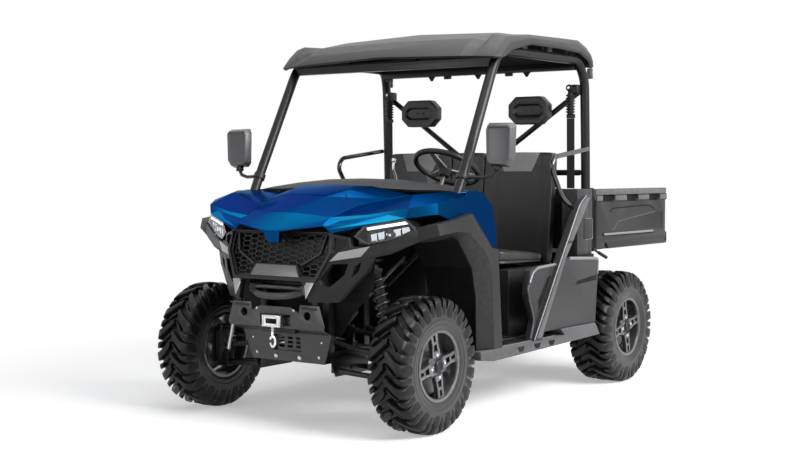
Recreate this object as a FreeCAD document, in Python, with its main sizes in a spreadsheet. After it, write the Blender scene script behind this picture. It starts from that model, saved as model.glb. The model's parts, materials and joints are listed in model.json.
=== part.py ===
import FreeCAD, Part
import math
import os
import Sketcher
from FreeCAD import Placement, Rotation, Vector

# A side-by-side utility vehicle: X forward, Y to the driver's side (vehicle left), Z up.
# The origin is on the ground under the middle of the vehicle. Millimetres.

SIZES = {
    # running gear
    "front_axle_x": 1120,
    "rear_axle_x": -810,
    "wheel_z": 315,
    "tyre_radius": 315,
    "lug_height": 17,
    "front_tyre_width": 200,
    "rear_tyre_width": 240,
    "front_tyre_y": 650,
    "rear_tyre_y": 638,
    "bead_radius": 158,
    "tyre_wall": 14,
    "rim_wall": 7,
    "rim_gap": 0.3,
    "spoke_count": 4,
    "lug_rows": 17,
    "disc_radius": 92,
    "disc_thick": 5,
    "hub_radius": 58,
    "spindle_radius": 15,
    "kingpin_y": 592,
    "knuckle_half_height": 76,
    "rack_back": 84,
    "rack_z": 362,
    "rod_radius": 9,
    "arm_tube_radius": 13,
    "shaft_radius": 13,
    "spring_radius": 38,
    "spring_turns": 7,
    "boot_folds": 7,
    # chassis
    "rail_y": 190,
    "rail_width": 40,
    "rail_z": 300,
    "rail_height": 46,
    "frame_front_x": 1270,
    "frame_rear_x": -1180,
    "tower_z": 790,
    "skid_thick": 4,
    "hitch_pin_radius": 8,
    "receiver_half": 33,
    "receiver_bore": 50.8,
    # cab
    "floor_thick": 6,
    "half_width": 745,
    "sill_width": 170,
    "flare_reach": 45,
    "pillar_inset": 105,
    "rear_pillar_inset": 80,
    "seat_base_z": 690,
    "cushion_thick": 105,
    "pillar_radius": 25,
    "b_pillar_x": -440,
    "roof_rail_z": 1797,
    "roof_half_width": 692,
    "roof_thick": 9,
    # body
    "hood_thick": 7,
    "liner_thick": 4,
    "grille_thick": 22,
    "mesh_pitch_y": 43,
    "mesh_pitch_z": 23.5,
    "mesh_bar": 4.6,
    "mesh_thick": 8,
    "seam_gap": 0.8,
    "bumper_thick": 6,
    "bumper_reach": 115,
    "bumper_lean": 92,
    "tow_hole_radius": 20,
    # bed
    "bed_front_x": -478,
    "bed_rear_x": -1435,
    "bed_half_width": 700,
    "bed_floor_z": 795,
    "bed_bottom_z": 765,
    "bed_top_z": 1100,
    "bed_wall": 34,
    "gate_thick": 30,
    "gate_pin_drop": 15,
    "gate_gap": 6,
    "side_sink": 10,
    "slot_depth": 20,
    "bed_hinge_x": -1150,
    "bed_hinge_z": 738,
    "pin_radius": 9,
    "pin_play": 0.3,
    "hand_wheel_x": 445,
    "hand_wheel_y": 335,
    "hand_wheel_z": 1215,
    "hand_wheel_radius": 165,
    "hand_wheel_rake": 30,
    "hub_drop": 50,
    "seat_gap": 0.3,
}


class Dim(float):
    """A length that remembers the cell, or the sum of cells, it comes from."""

    def __new__(cls, value, text):
        made = float.__new__(cls, value)
        made.text = text
        return made

    def joined(self, other, sign, value):
        return Dim(value, "(%s %s %s)" % (self.text, sign, text_of(other)))

    def __add__(self, other):
        return self.joined(other, "+", float(self) + float(other))

    def __sub__(self, other):
        return self.joined(other, "-", float(self) - float(other))

    def __mul__(self, other):
        return self.joined(other, "*", float(self) * float(other))

    def __truediv__(self, other):
        return self.joined(other, "/", float(self) / float(other))

    def __radd__(self, other):
        return Dim(float(other) + float(self), "(%s + %s)" % (text_of(other), self.text))

    def __rsub__(self, other):
        return Dim(float(other) - float(self), "(%s - %s)" % (text_of(other), self.text))

    def __rmul__(self, other):
        return Dim(float(other) * float(self), "(%s * %s)" % (text_of(other), self.text))

    def __neg__(self):
        return Dim(-float(self), "(0 - %s)" % self.text)


def text_of(value):
    return value.text if isinstance(value, Dim) else repr(float(value))


doc = FreeCAD.newDocument("side_by_side")
sheet = doc.addObject("Spreadsheet::Sheet", "Sizes")
for row, (alias, value) in enumerate(SIZES.items(), start=1):
    sheet.set("A%d" % row, alias.replace("_", " "))
    sheet.set("B%d" % row, str(value))
    sheet.setAlias("B%d" % row, alias)
doc.recompute()


def size(alias):
    return Dim(sheet.get(alias), "Sizes." + alias)


class Sizes:
    pass


s = Sizes()
for alias in SIZES:
    setattr(s, alias, size(alias))

s.door_sill_y = s.half_width - s.sill_width
s.fender_y = s.half_width - s.flare_reach
s.a_pillar_y = s.half_width - s.pillar_inset
s.b_pillar_y = s.half_width - s.rear_pillar_inset
s.floor_z = s.rail_z + s.rail_height + s.seat_gap
FX = s.front_axle_x
RX = s.rear_axle_x
nodes = {}


# Drawing helpers

def bind(thing, path, value):
    if isinstance(value, Dim):
        thing.setExpression(path, value.text)


def place(thing, base, rotation=Rotation()):
    thing.Placement = Placement(Vector(*base), rotation)
    for axis, value in zip("xyz", base):
        bind(thing, "Placement.Base." + axis, value)
    return thing


def box(name, xs, ys, zs):
    thing = doc.addObject("Part::Box", name)
    for prop, (low, high) in zip(("Length", "Width", "Height"), (xs, ys, zs)):
        setattr(thing, prop, float(high) - float(low))
        bind(thing, prop, high - low)
    return place(thing, (xs[0], ys[0], zs[0]))


TURN = {
    "X": Rotation(Vector(0, 1, 0), 90),
    "Y": Rotation(Vector(1, 0, 0), -90),
    "Z": Rotation(),
}


def cylinder(name, axis, base, radius, length):
    thing = doc.addObject("Part::Cylinder", name)
    thing.Radius = float(radius)
    thing.Height = float(length)
    bind(thing, "Radius", radius)
    bind(thing, "Height", length)
    return place(thing, base, TURN[axis])


def origin_plane(body, role):
    for feature in body.Origin.OriginFeatures:
        if feature.Role == role:
            return feature
    raise ValueError(role)


def sketch_on(body, plane, offset, outlines):
    """A closed sketch of straight outlines whose corners are dimensioned from the origin."""
    sketch = body.newObject("Sketcher::SketchObject", body.Name + "_sketch")
    sketch.AttachmentSupport = (origin_plane(body, plane + "_Plane"), [""])
    sketch.MapMode = "FlatFace"
    sketch.AttachmentOffset = Placement(Vector(0, 0, float(offset)), Rotation())
    bind(sketch, "AttachmentOffset.Base.z", offset)
    for outline in outlines:
        first = sketch.GeometryCount
        count = len(outline)
        for i, start in enumerate(outline):
            end = outline[(i + 1) % count]
            line = Part.LineSegment(Vector(start[0], start[1], 0), Vector(end[0], end[1], 0))
            sketch.addGeometry(line, False)
        for i, corner in enumerate(outline):
            follower = first + (i + 1) % count
            sketch.addConstraint(Sketcher.Constraint("Coincident", first + i, 2, follower, 1))
            dimension(sketch, first + i, "DistanceX", corner[0], -2)
            dimension(sketch, first + i, "DistanceY", corner[1], -1)
    return sketch


def dimension(sketch, line, kind, value, axis):
    if float(value) == 0:
        sketch.addConstraint(Sketcher.Constraint("PointOnObject", line, 1, axis))
        return
    number = sketch.addConstraint(Sketcher.Constraint(kind, -1, 1, line, 1, float(value)))
    bind(sketch, "Constraints[%d]" % number, value)


def prism(name, plane, outlines, low, high):
    """A padded outline between two distances along the plane's own normal axis."""
    body = doc.addObject("PartDesign::Body", name)
    if not isinstance(outlines[0][0], (tuple, list)):
        outlines = [outlines]
    offset = -high if plane == "XZ" else low
    sketch = sketch_on(body, plane, offset, outlines)
    pad = body.newObject("PartDesign::Pad", name + "_pad")
    pad.Profile = sketch
    pad.Length = float(high) - float(low)
    bind(pad, "Length", high - low)
    return body


def spin(name, profile, base):
    """A profile of (distance along Y, radius) turned about the Y axis through base."""
    body = doc.addObject("PartDesign::Body", name)
    sketch = sketch_on(body, "YZ", 0, [profile])
    turned = body.newObject("PartDesign::Revolution", name + "_turn")
    turned.Profile = sketch
    turned.ReferenceAxis = (sketch, ["H_Axis"])
    turned.Angle = 360
    return place(body, base)


def feature(name, shape):
    thing = doc.addObject("Part::Feature", name)
    thing.Shape = shape
    return thing


def loft(name, sections, ruled=True):
    wires = []
    for section in sections:
        corners = [Vector(*point) for point in section]
        wires.append(Part.makePolygon(corners + corners[:1]))
    return feature(name, Part.makeLoft(wires, True, ruled))


def solid_of(patches):
    """A closed solid from four-cornered patches, each laid as two flat triangles."""
    faces = []
    for a, b, c, d in patches:
        for corners in ((a, b, c), (a, c, d)):
            sides = [(point - corners[number - 1]).Length for number, point in enumerate(corners)]
            if min(sides) > 1e-6:
                faces.append(Part.Face(Part.makePolygon(corners + corners[:1])))
    shell = Part.makeShell(faces)
    shell.sewShape()
    solid = Part.makeSolid(shell)
    if solid.Volume < 0:
        solid.reverse()
    return solid.removeSplitter()


def body_fold(name, rows, inner):
    """A folded panel of the body, whose width follows the fender's side."""
    return folded(name, [[(x, across(y), z) for x, y, z in row] for row in rows], inner)


def folded(name, rows, inner):
    """A panel folded along its creases: rows of corner points, and the same sheet again on its inner side."""
    top = [[Vector(*point) for point in row] for row in rows]
    low = [[inner(point) for point in row] for row in top]
    last = len(rows) - 1
    end = len(rows[0]) - 1
    patches = []
    for i in range(last):
        for j in range(end):
            for sheet in (top, low):
                patches.append((sheet[i][j], sheet[i + 1][j], sheet[i + 1][j + 1], sheet[i][j + 1]))
    border = [(0, j) for j in range(end)] + [(i, end) for i in range(last)]
    border += [(last, j) for j in range(end, 0, -1)] + [(i, 0) for i in range(last, 0, -1)]
    for (i, j), (k, m) in zip(border, border[1:] + border[:1]):
        patches.append((top[i][j], top[k][m], low[k][m], low[i][j]))
    return feature(name, solid_of(patches))


def across(y):
    """Body panels are drawn 700 mm out to the fender's side and stretched to where that side is."""
    return float(y) * float(s.fender_y) / 700.0


def mirrored(half):
    """A row of points from the middle line outwards, as a whole row from side to side."""
    return [(x, -y, z) for x, y, z in reversed(half) if y] + list(half)


def tube(name, route, radius, bend=0.45):
    """A round bar along straight runs joined by tangent arcs."""
    points = [Vector(*point) for point in route]
    edges = []
    start = points[0]
    for before, corner, after in zip(points, points[1:], points[2:]):
        back = (before - corner).normalize()
        ahead = (after - corner).normalize()
        shorter = min((before - corner).Length, (after - corner).Length)
        cut = bend * shorter
        one = corner + back * cut
        two = corner + ahead * cut
        half = math.pi / 2 - back.getAngle(ahead) / 2
        reach = cut / math.tan(half)
        inward = (back + ahead).normalize()
        depth = math.sqrt(cut * cut + reach * reach) - reach
        middle = corner + inward * depth
        edges.append(Part.makeLine(start, one))
        edges.append(Part.Arc(one, middle, two).toShape())
        start = two
    edges.append(Part.makeLine(start, points[-1]))
    path = Part.Wire(edges)
    circle = Part.Wire([Part.makeCircle(float(radius), points[0], points[1] - points[0])])
    return feature(name, path.makePipeShell([circle], True, False))


def fuse(name, *things):
    joined = doc.addObject("Part::MultiFuse", name)
    joined.Shapes = list(things)
    return joined


def cut(name, base, *tools):
    tool = tools[0]
    if len(tools) > 1:
        tool = fuse(name + "_tools", *tools)
    made = doc.addObject("Part::Cut", name)
    made.Base = base
    made.Tool = tool
    return made


def mirror(thing):
    made = doc.addObject("Part::Mirroring", thing.Name + "_right")
    made.Source = thing
    made.Normal = Vector(0, 1, 0)
    return made


def gather(name, *things):
    made = doc.addObject("Part::Compound", name)
    made.Links = list(things)
    return made


def pair(name, thing):
    return gather(name, thing, mirror(thing))


def node(name, thing):
    thing.Label = name
    nodes[name] = thing
    return thing


def grown_pillar(name, route, extra):
    return tube(name, route, s.pillar_radius + extra)


# Wheels

def tyre(name, width):
    """The carcass as a ring of flat sides, one to each bar, with the bars of the tread standing on it."""
    half = width / 2
    crown = s.tyre_radius - s.lug_height
    rows = int(s.lug_rows)
    bead = s.bead_radius / math.cos(math.pi / (rows * 2))
    wall = s.tyre_wall
    profile = [(-half * 0.86, bead), (-half, bead + 70), (-half * 0.93, crown - 28), (-half * 0.6, crown - 2),
               (half * 0.6, crown - 2), (half * 0.93, crown - 28), (half, bead + 70), (half * 0.86, bead),
               (half * 0.86 - wall, bead), (half * 0.7, crown - 24), (-half * 0.7, crown - 24),
               (wall - half * 0.86, bead)]
    carcass = feature(name + "_carcass", ring_of(profile, rows * 2))
    pitch = 360.0 / rows
    lugs = []
    for row in range(rows):
        for hand in (-1, 1):
            turn = row * pitch + (pitch / 2 if hand > 0 else 0)
            lugs.append(feature(name + "_lug", lug(float(half), hand, turn, pitch, row % 2)))
    return fuse(name, carcass, *lugs)


def ring_of(profile, sides):
    """A closed ring of flat sides whose section is a profile of (distance along Y, radius)."""
    patches = []
    for side in range(sides):
        turns = [2 * math.pi * number / sides for number in (side, (side + 1) % sides)]
        for (y, radius), (next_y, next_radius) in zip(profile, profile[1:] + profile[:1]):
            corners = [(y, radius, turns[0]), (next_y, next_radius, turns[0]),
                       (next_y, next_radius, turns[1]), (y, radius, turns[1])]
            patches.append(tuple(Vector(r * math.sin(turn), along, r * math.cos(turn))
                                 for along, r, turn in corners))
    return solid_of(patches)


def lug(wide, hand, start, pitch, long_one):
    """One bar of the chevron, swept back from the middle of the tread to its shoulder."""
    tip = float(s.tyre_radius)
    foot = tip - float(s.lug_height)
    inner = -0.06 if long_one else 0.12
    stations = [
        (inner, tip / math.cos(math.radians(pitch * 0.17)), foot - 8, 0.0, 0.17),
        (0.74, tip - 1, foot - 22, 0.56, 0.22),
        (0.985, tip - 25, foot - 84, 0.66, 0.27),
    ]
    rings = []
    for across, top, bottom, lead, thick in stations:
        ring = []
        for radius, squeeze, edge in ((bottom, 1.25, -1), (bottom, 1.25, 1), (top, 1.0, 1), (top, 1.0, -1)):
            turn = math.radians(start + pitch * (lead + edge * thick * squeeze))
            ring.append(Vector(radius * math.sin(turn), hand * across * wide, radius * math.cos(turn)))
        rings.append(ring)
    patches = [tuple(rings[0]), tuple(rings[-1])]
    for ring, following in zip(rings, rings[1:]):
        for number in range(4):
            patches.append((ring[number - 1], ring[number], following[number], following[number - 1]))
    return solid_of(patches)


def rim(name, y, width):
    """A barrel with the hub and brake disc inside, and four split spokes near its outer face."""
    half = width / 2 * 0.86 - s.tyre_wall - s.rim_gap
    lip = s.bead_radius + 7
    seat = s.bead_radius - s.rim_gap
    wall = s.rim_wall
    face = width / 2 * 0.86 + 6.5
    profile = [
        (-face, lip), (-face, seat - wall), (-half, seat - wall - 4), (half, seat - wall - 4),
        (face, seat - wall), (face, lip), (face - 3, lip), (face - 3, seat), (half + 2, seat),
        (half * 0.5, seat - wall), (-half * 0.5, seat - wall), (-half - 2, seat), (3 - face, seat), (3 - face, lip),
    ]
    barrel = spin(name + "_barrel", profile, (0, 0, 0))
    hub_in = s.kingpin_y + 25 - y
    hub = spin(name + "_hub", [
        (hub_in, s.spindle_radius + s.rim_gap), (face - 12, s.spindle_radius + s.rim_gap),
        (face - 12, 0), (face - 8, 0), (face - 8, 28), (face - 20, 34), (face - 24, s.hub_radius),
        (face - 48, s.hub_radius), (hub_in + 8, 36), (hub_in, 36),
    ], (0, 0, 0))
    disc = spin(name + "_disc", [
        (hub_in, 30), (hub_in + s.disc_thick, 30), (hub_in + s.disc_thick, s.disc_radius),
        (hub_in, s.disc_radius),
    ], (0, 0, 0))
    reach = seat - wall - 1
    outline = [(-31, 44), (-23, 104), (-27, reach), (27, reach), (23, 104), (31, 44)]
    fork = [(-15, 70), (-11, 100), (11, 100), (15, 70)]
    foot = [(-8, 114), (-10, reach - 6), (10, reach - 6), (8, 114)]
    spokes = []
    for number in range(int(s.spoke_count)):
        spoke = prism(name + "_spoke", "XZ", [outline, fork, foot], face - 32, face - 10)
        turn = Rotation(Vector(0, 1, 0), 360.0 / float(s.spoke_count) * number + 12)
        spoke.Placement = Placement(Vector(), turn)
        spokes.append(spoke)
    return fuse(name, barrel, hub, disc, *spokes)


def wheels():
    """Each wheel is made once on the left and reflected to the right."""
    for word, x, y, width in (("front", FX, s.front_tyre_y, s.front_tyre_width),
                              ("rear", RX, s.rear_tyre_y, s.rear_tyre_width)):
        left_tyre = place(tyre(word + "_tyre", width), (x, y, s.wheel_z))
        left_rim = place(rim(word + "_rim", y, width), (x, y, s.wheel_z))
        node("tyre_%s_left" % word, left_tyre)
        node("tyre_%s_right" % word, mirror(left_tyre))
        node("rim_%s_left" % word, left_rim)
        node("rim_%s_right" % word, mirror(left_rim))


# Steering and suspension

def knuckle():
    """The upright between the ball joints, with its spindle and its rearward steering arm."""
    ky = s.kingpin_y
    high = s.knuckle_half_height
    upright = prism("upright", "YZ", [
        (ky - 14, s.wheel_z - high), (ky + 14, s.wheel_z - high), (ky + 20, s.wheel_z - 34),
        (ky + 20, s.wheel_z + 34), (ky + 14, s.wheel_z + high), (ky - 14, s.wheel_z + high),
        (ky - 12, s.wheel_z + 30), (ky - 12, s.wheel_z - 30),
    ], FX - 20, FX + 20)
    spindle = cylinder("spindle", "Y", (FX, ky + 10, s.wheel_z), s.spindle_radius, s.front_tyre_y + 60 - ky)
    arm = prism("steering_arm", "XY", [
        (FX - 15, ky - 12), (FX - s.rack_back - 14, ky - 16), (FX - s.rack_back - 14, ky + 12),
        (FX - 15, ky + 12),
    ], s.rack_z - 34, s.rack_z - 22)
    return fuse("knuckle_shape", upright, spindle, arm)


def hand_wheel_axis():
    rake = math.radians(s.hand_wheel_rake)
    return Vector(-math.sin(rake), 0, math.cos(rake))


def hand_wheel_centre():
    return Vector(s.hand_wheel_x, s.hand_wheel_y, s.hand_wheel_z)


def steering():
    shape = knuckle()
    node("knuckle_left", shape)
    node("knuckle_right", mirror(shape))
    rack_x = FX - s.rack_back
    end_y = s.kingpin_y - 2
    rod = cylinder("rack_bar", "Y", (rack_x, -end_y, s.rack_z), s.rod_radius, end_y * 2)
    eye = cylinder("rod_eye", "Z", (rack_x, end_y, s.rack_z - 12), 13, 24)
    node("steering_rack", fuse("rack_rods", rod, eye, mirror(eye)))
    seat = s.rail_z + s.rail_height
    housing = box("rack_housing", (rack_x - 24, rack_x + 13), (-180, 180), (seat, s.rack_z + 24))
    bore = cylinder("rack_bore", "Y", (rack_x, -200, s.rack_z), s.rod_radius + s.seat_gap, 400)
    axis = hand_wheel_axis()
    centre = hand_wheel_centre()
    top = centre - axis * (s.hub_drop + s.seat_gap)
    low = centre - axis * 420
    route = [(rack_x - 10, 60, s.rack_z + 10), (860, 200, 640), tuple(low), tuple(top)]
    shaft = tube("steering_shaft", route, 11)
    node("steering_gear", fuse("steering_parts", cut("rack_case", housing, bore), shaft))
    return tube("column_room", route, 14)


def arms(front_shock, rear_shock):
    """Wishbones between the chassis pivots and the ball joints under and over each axle."""
    front = []
    tube_r = s.arm_tube_radius
    low = s.wheel_z - s.knuckle_half_height - 15
    top = s.wheel_z + s.knuckle_half_height + 15
    ball = s.kingpin_y
    inner = s.rail_y + s.rail_width / 2 + 14
    for reach in (105, -105):
        front.append(tube("front_low_arm", [(FX + reach, inner, low + 40), (FX + reach * 0.05, ball - 4, low)],
                          tube_r))
    for reach in (-60, -165):
        front.append(tube("front_top_arm", [(FX + reach, inner, top + 30), (FX + reach * 0.05, ball - 4, top)],
                          tube_r))
    for z in (low, top):
        front.append(cylinder("front_ball", "Z", (FX, ball, z - 15 + s.seat_gap), 18, 30 - s.seat_gap * 2))
    front += arm_feet("front_foot", (FX + 105, FX - 105), low + 40)
    front += arm_feet("front_foot", (FX - 60, FX - 165), top + 30)
    mount = box("shock_foot", (FX + 8, FX + 52), (500, 540), (low - 8, low + 62))
    front.append(mount)
    left = cut("front_arm_left", fuse("front_arm_parts", *front), front_shock)
    node("front_arms", pair("front_arm_pair", left))
    rear = []
    ball = s.rear_tyre_y - 50
    for z, rise, spread in ((low, 40, 130), (top, 30, 60)):
        for reach in (spread, -spread):
            rear.append(tube("rear_arm", [(RX + reach, inner, z + rise), (RX + reach * 0.05, ball, z)], tube_r))
        rear += arm_feet("rear_foot", (RX + spread, RX - spread), z + rise)
    rear.append(box("rear_carrier", (RX - 24, RX + 24), (ball - 22, ball + 14), (low - 16, top + 16)))
    rear.append(cylinder("rear_spindle", "Y", (RX, ball, s.wheel_z), s.spindle_radius, 124))
    rear.append(box("rear_shock_foot", (RX + 40, RX + 76), (450, 490), (low - 6, low + 60)))
    left = cut("rear_arm_left", fuse("rear_arm_parts", *rear), rear_shock)
    node("rear_arms", pair("rear_arm_pair", left))


def arm_feet(name, places, z):
    """The pivots of an arm's two inner ends, each against the frame's outer face."""
    face = s.rail_y + s.rail_width / 2
    return [box(name, (x - 10, x + 10), (face, face + 22), (z - 13, z + 24 if z < s.rail_z else z + 13))
            for x in places]


def shock(name, foot, head):
    """A damper rod and body with a spring around them, turned about the line from foot to head."""
    start = Vector(*foot)
    line = Vector(*head) - start
    length = line.Length
    profile = [(0, 0), (11, 0), (11, length * 0.36), (37, length * 0.36), (37, length * 0.39)]
    turns = int(s.spring_turns)
    pitch = length * 0.53 / turns
    for number in range(turns):
        low = length * 0.39 + pitch * number
        profile += [(27, low), (s.spring_radius, low + pitch * 0.3), (s.spring_radius, low + pitch * 0.55),
                    (27, low + pitch * 0.85)]
    profile += [(27, length * 0.92), (37, length * 0.92), (37, length * 0.95), (16, length * 0.95), (16, length),
                (0, length)]
    points = [Vector(float(radius), 0, float(height)) for radius, height in profile]
    whole = Part.Face(Part.makePolygon(points + points[:1])).revolve(Vector(), Vector(0, 0, 1), 360)
    whole.Placement = Placement(start, Rotation(Vector(0, 0, 1), line))
    return feature(name, whole)


def shocks():
    low = float(s.wheel_z - s.knuckle_half_height)
    front = shock("front_shock", (FX + 32, 520, low + 48), (FX + 32, 396, s.tower_z - 24))
    rear = shock("rear_shock", (RX + 58, 470, low + 46), (RX + 58, 345, s.bed_bottom_z - 97))
    node("shocks", gather("shock_set", front, mirror(front), rear, mirror(rear)))
    return front, rear


def driveline():
    """Front and rear final drives, the propeller shaft between them and the four half shafts."""
    wz = s.wheel_z
    gear_front = box("front_drive", (FX - 50, FX + 80), (-85, 85), (wz + 3, wz + 125))
    gear_rear = box("rear_drive", (RX - 110, RX + 120), (-105, 105), (wz + 3, wz + 160))
    prop = cylinder("prop_shaft", "X", (RX + 110, 0, wz + 16), s.shaft_radius, FX - 50 - RX - 100)
    left = []
    for x, far, y in ((FX, s.kingpin_y - 28, 80), (RX, s.rear_tyre_y - 74, 100)):
        start = Vector(x, y, wz + 70)
        end = Vector(x, far, wz)
        boot = Part.makeCone(30, 16, 62, start, end - start)
        shaft = Part.makeCylinder(s.shaft_radius, (end - start).Length, start, end - start)
        left.append(feature("half_shaft", shaft.fuse(boot)))
    sides = left + [mirror(thing) for thing in left]
    node("driveline", fuse("driveline_parts", gear_front, gear_rear, prop, *sides))


# Chassis

def both_sides(things):
    """Every member, and the reflection of each that doesn't cross the middle."""
    return things + [mirror(thing) for thing in things if "cross" not in thing.Name]


def chassis():
    ry = s.rail_y
    half = s.rail_width / 2
    low = s.rail_z
    top = s.rail_z + s.rail_height
    rails = [box("rail", (s.frame_rear_x, s.frame_front_x), (ry - half, ry + half), (low, top))]
    for x in (560, 60, -300):
        rails.append(box("sill_bearer", (x - 18, x + 18), (ry + half, s.door_sill_y), (low, low + 34)))
    rails.append(box("pillar_bearer", (s.b_pillar_x - 20, s.b_pillar_x + 20), (ry + half, s.b_pillar_y + 22),
                     (low, low + 34)))
    rails.append(box("pillar_stand", (s.b_pillar_x - 24, s.b_pillar_x + 24), (s.b_pillar_y - 24, s.b_pillar_y + 24),
                     (low + 30, low + 80)))
    rails.append(box("seat_post", (-360, -336), (ry - half, ry + half), (top, 640)))
    fore = [box("arm_post", (FX - 70, FX - 50), (ry - half, ry + half), (top, s.wheel_z + 145))]
    for x in (FX - 165, FX + 110):
        fore.append(box("front_post", (x - 20, x + 20), (ry - half, ry + half), (top, s.tower_z)))
    fore.append(box("front_top_rail", (FX - 185, FX + 130), (ry - half, ry + half), (s.tower_z - 30, s.tower_z)))
    fore.append(box("shock_tower", (FX - 5, FX + 55), (ry + half, 425), (s.tower_z - 12, s.tower_z)))
    fore.append(box("pillar_foot", (860, 930), (s.a_pillar_y - 60, s.a_pillar_y + 12), (914, 926)))
    fore.append(box("cowl_post", (752, 782), (ry - half, ry + half), (top, 640)))
    fore.append(tube("cowl_brace", [(767, ry, 625), (790, 400, 800), (888, s.a_pillar_y - 40, 905)], 14))
    aft = [box("arm_post", (x - 10, x + 10), (ry - half, ry + half), (top, s.bed_bottom_z - 50))
           for x in (RX - 60, RX + 60)]
    for x in (RX - 150, RX + 150):
        aft.append(box("rear_post", (x - 20, x + 20), (ry - half, ry + half), (top, s.bed_bottom_z - 50)))
    aft.append(box("hinge_ear", (s.bed_hinge_x - 22, s.bed_hinge_x + 22), (ry - half, ry + half),
                   (s.bed_bottom_z - 50, s.bed_hinge_z + 10)))
    aft.append(box("tail_post", (s.bed_hinge_x - 22, s.bed_hinge_x), (ry - half, ry + half),
                   (650, s.bed_bottom_z - 40)))
    aft.append(cylinder("hinge_pin", "Y", (s.bed_hinge_x, ry, s.bed_hinge_z), s.pin_radius, half + 32))
    aft.append(box("bed_rail", (s.bed_hinge_x + 10, s.bed_front_x - 20), (ry - half, ry + half),
                   (s.bed_bottom_z - 50, s.bed_bottom_z - s.seat_gap)))
    aft.append(box("rear_shock_arm", (RX + 40, RX + 78), (ry + half, 380),
                   (s.bed_bottom_z - 90, s.bed_bottom_z - 78)))
    for x in (s.frame_front_x - 30, 640, 30, -340, RX + 165, RX - 165, s.frame_rear_x + 30):
        rails.append(box("cross", (x - 20, x + 20), (-ry, ry), (low, low + 12)))
    for x in (FX - 165, FX + 110):
        fore.append(box("tower_cross", (x - 16, x + 16), (-ry, ry), (s.tower_z - 28, s.tower_z - 2)))
    for x in (s.bed_hinge_x, s.bed_front_x - 60):
        aft.append(box("bed_cross", (x - 16, x + 16), (-ry, ry), (s.bed_bottom_z - 48, s.bed_bottom_z - 22)))
    fore.append(box("cowl_cross", (754, 780), (-ry, ry), (600, 630)))
    aft.append(box("tail_cross", (s.bed_hinge_x - 40, s.bed_hinge_x - 14), (-320, 320), (640, 665)))
    reach = s.receiver_half
    receiver = cut("receiver", box("receiver_block", (s.frame_rear_x - 150, s.frame_rear_x + 50), (-reach, reach),
                                   (s.rail_z + 12, s.rail_z + 12 + reach * 2)),
                   box("receiver_hole", (s.frame_rear_x - 160, s.frame_rear_x + 10),
                       (-s.receiver_bore / 2, s.receiver_bore / 2),
                       (s.rail_z + 12 + reach - s.receiver_bore / 2, s.rail_z + 12 + reach + s.receiver_bore / 2)),
                   cylinder("hitch_pin_hole", "Y", (s.frame_rear_x - 120, -60, s.rail_z + 12 + reach),
                            s.hitch_pin_radius, 120))
    node("chassis_frame", fuse("frame_whole", receiver, *both_sides(rails)))
    node("front_frame", fuse("front_whole", *both_sides(fore)))
    node("rear_frame", fuse("rear_whole", *both_sides(aft)))
    skid = prism("skid", "XZ", [
        (s.frame_rear_x, low - s.skid_thick), (s.frame_front_x + 6, low - s.skid_thick),
        (s.frame_front_x + 12, low + 20), (s.frame_front_x + 8, low + 20), (s.frame_front_x + 3, low),
        (s.frame_rear_x, low),
    ], -ry - half, ry + half)
    stay = box("stay_slot", (s.frame_front_x, s.frame_front_x + s.bumper_reach), (ry - 16, ry + 16), (low, low + 40))
    node("skid_plate", cut("skid_shape", skid, stay, mirror(stay)))


# Front end

def bumper():
    """A steel plate with two ears, folded back under them to a pocketed foot, and the bull bar over it."""
    thick = s.bumper_thick
    outline = [(0, 565), (93, 565), (143, 541), (150, 579), (260, 579), (292, 485), (286, 466), (0, 466)]
    window = [(0, 529), (92, 529), (92, 477), (0, 477)]
    back = s.frame_front_x + s.bumper_reach
    plate = prism("plate", "YZ", outline, back, back + thick)
    tow = cylinder("tow_hole", "X", (back - 20, 192, 530), s.tow_hole_radius, 60)
    half = cut("plate_half", plate, prism("rope_window", "YZ", window, back - 10, back + 20), tow)
    foot_x = float(back - s.bumper_lean)
    fold = folded("plate_fold", [
        mirrored([(float(back), 0, 468), (float(back), 286, 468)]),
        mirrored([(foot_x + 12, 0, 436), (foot_x + 12, 268, 436)]),
        mirrored([(foot_x, 0, 298), (foot_x, 221, 298)]),
    ], thinner(float(thick), 0, 0))
    mouth = box("pocket_mouth", (foot_x - 30, foot_x + 60), (-84, 84), (347, 424))
    tray = box("pocket", (foot_x - 16, foot_x + 4), (-88, 88), (343, 428))
    hollow = box("pocket_hollow", (foot_x - 12, foot_x + 60), (-84, 84), (347, 424))
    slots = [box("pocket_slot", (foot_x - 30, foot_x), (y - 16, y + 16), (z - 6, z + 6))
             for y in (-52, 0, 52) for z in (366, 386, 406)]
    foot_plate = fuse("plate_foot", cut("plate_open", fold, mouth), cut("pocket_open", tray, hollow, *slots))
    stay = box("plate_stay", (s.frame_front_x, foot_x + 3), (s.rail_y - 14, s.rail_y + 14), (s.rail_z + 2, s.rail_z + 38))
    foot = box("bar_foot", (FX + 130, FX + 137), (172, 208), (612, 670))
    rope = tube("low_bar", [(FX + 135, 180, 641), (1370, 150, 634), (1404, 90, 618),
                            (1412, 0, 614)], 17, 0.4)
    upper = tube("high_bar", [(1372, 152, 652), (1390, 100, 656), (1396, 0, 656)], 10, 0.4)
    link = box("bar_link", (1362, 1380), (136, 170), (626, 664))
    left = fuse("bumper_half", half, stay, foot, rope, upper, link)
    node("bumper", fuse("bumper_whole", left, mirror(left), foot_plate))


def winch():
    back = s.frame_front_x + s.bumper_reach + s.bumper_thick
    frame = box("fairlead_frame", (back, back + 30), (-55, 55), (471, 526))
    slot = box("fairlead_slot", (back - 5, back + 40), (-32, 32), (486, 511))
    rope = cylinder("rope_drop", "Z", (back + 17, 0, 436), 5, 50)
    hook = cut("hook_ring", cylinder("hook_disc", "X", (back + 11, 0, 414), 27, 12),
               cylinder("hook_eye", "X", (back - 5, 0, 412), 14, 60))
    node("winch", fuse("winch_front", cut("fairlead", frame, slot), rope, hook))


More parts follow.
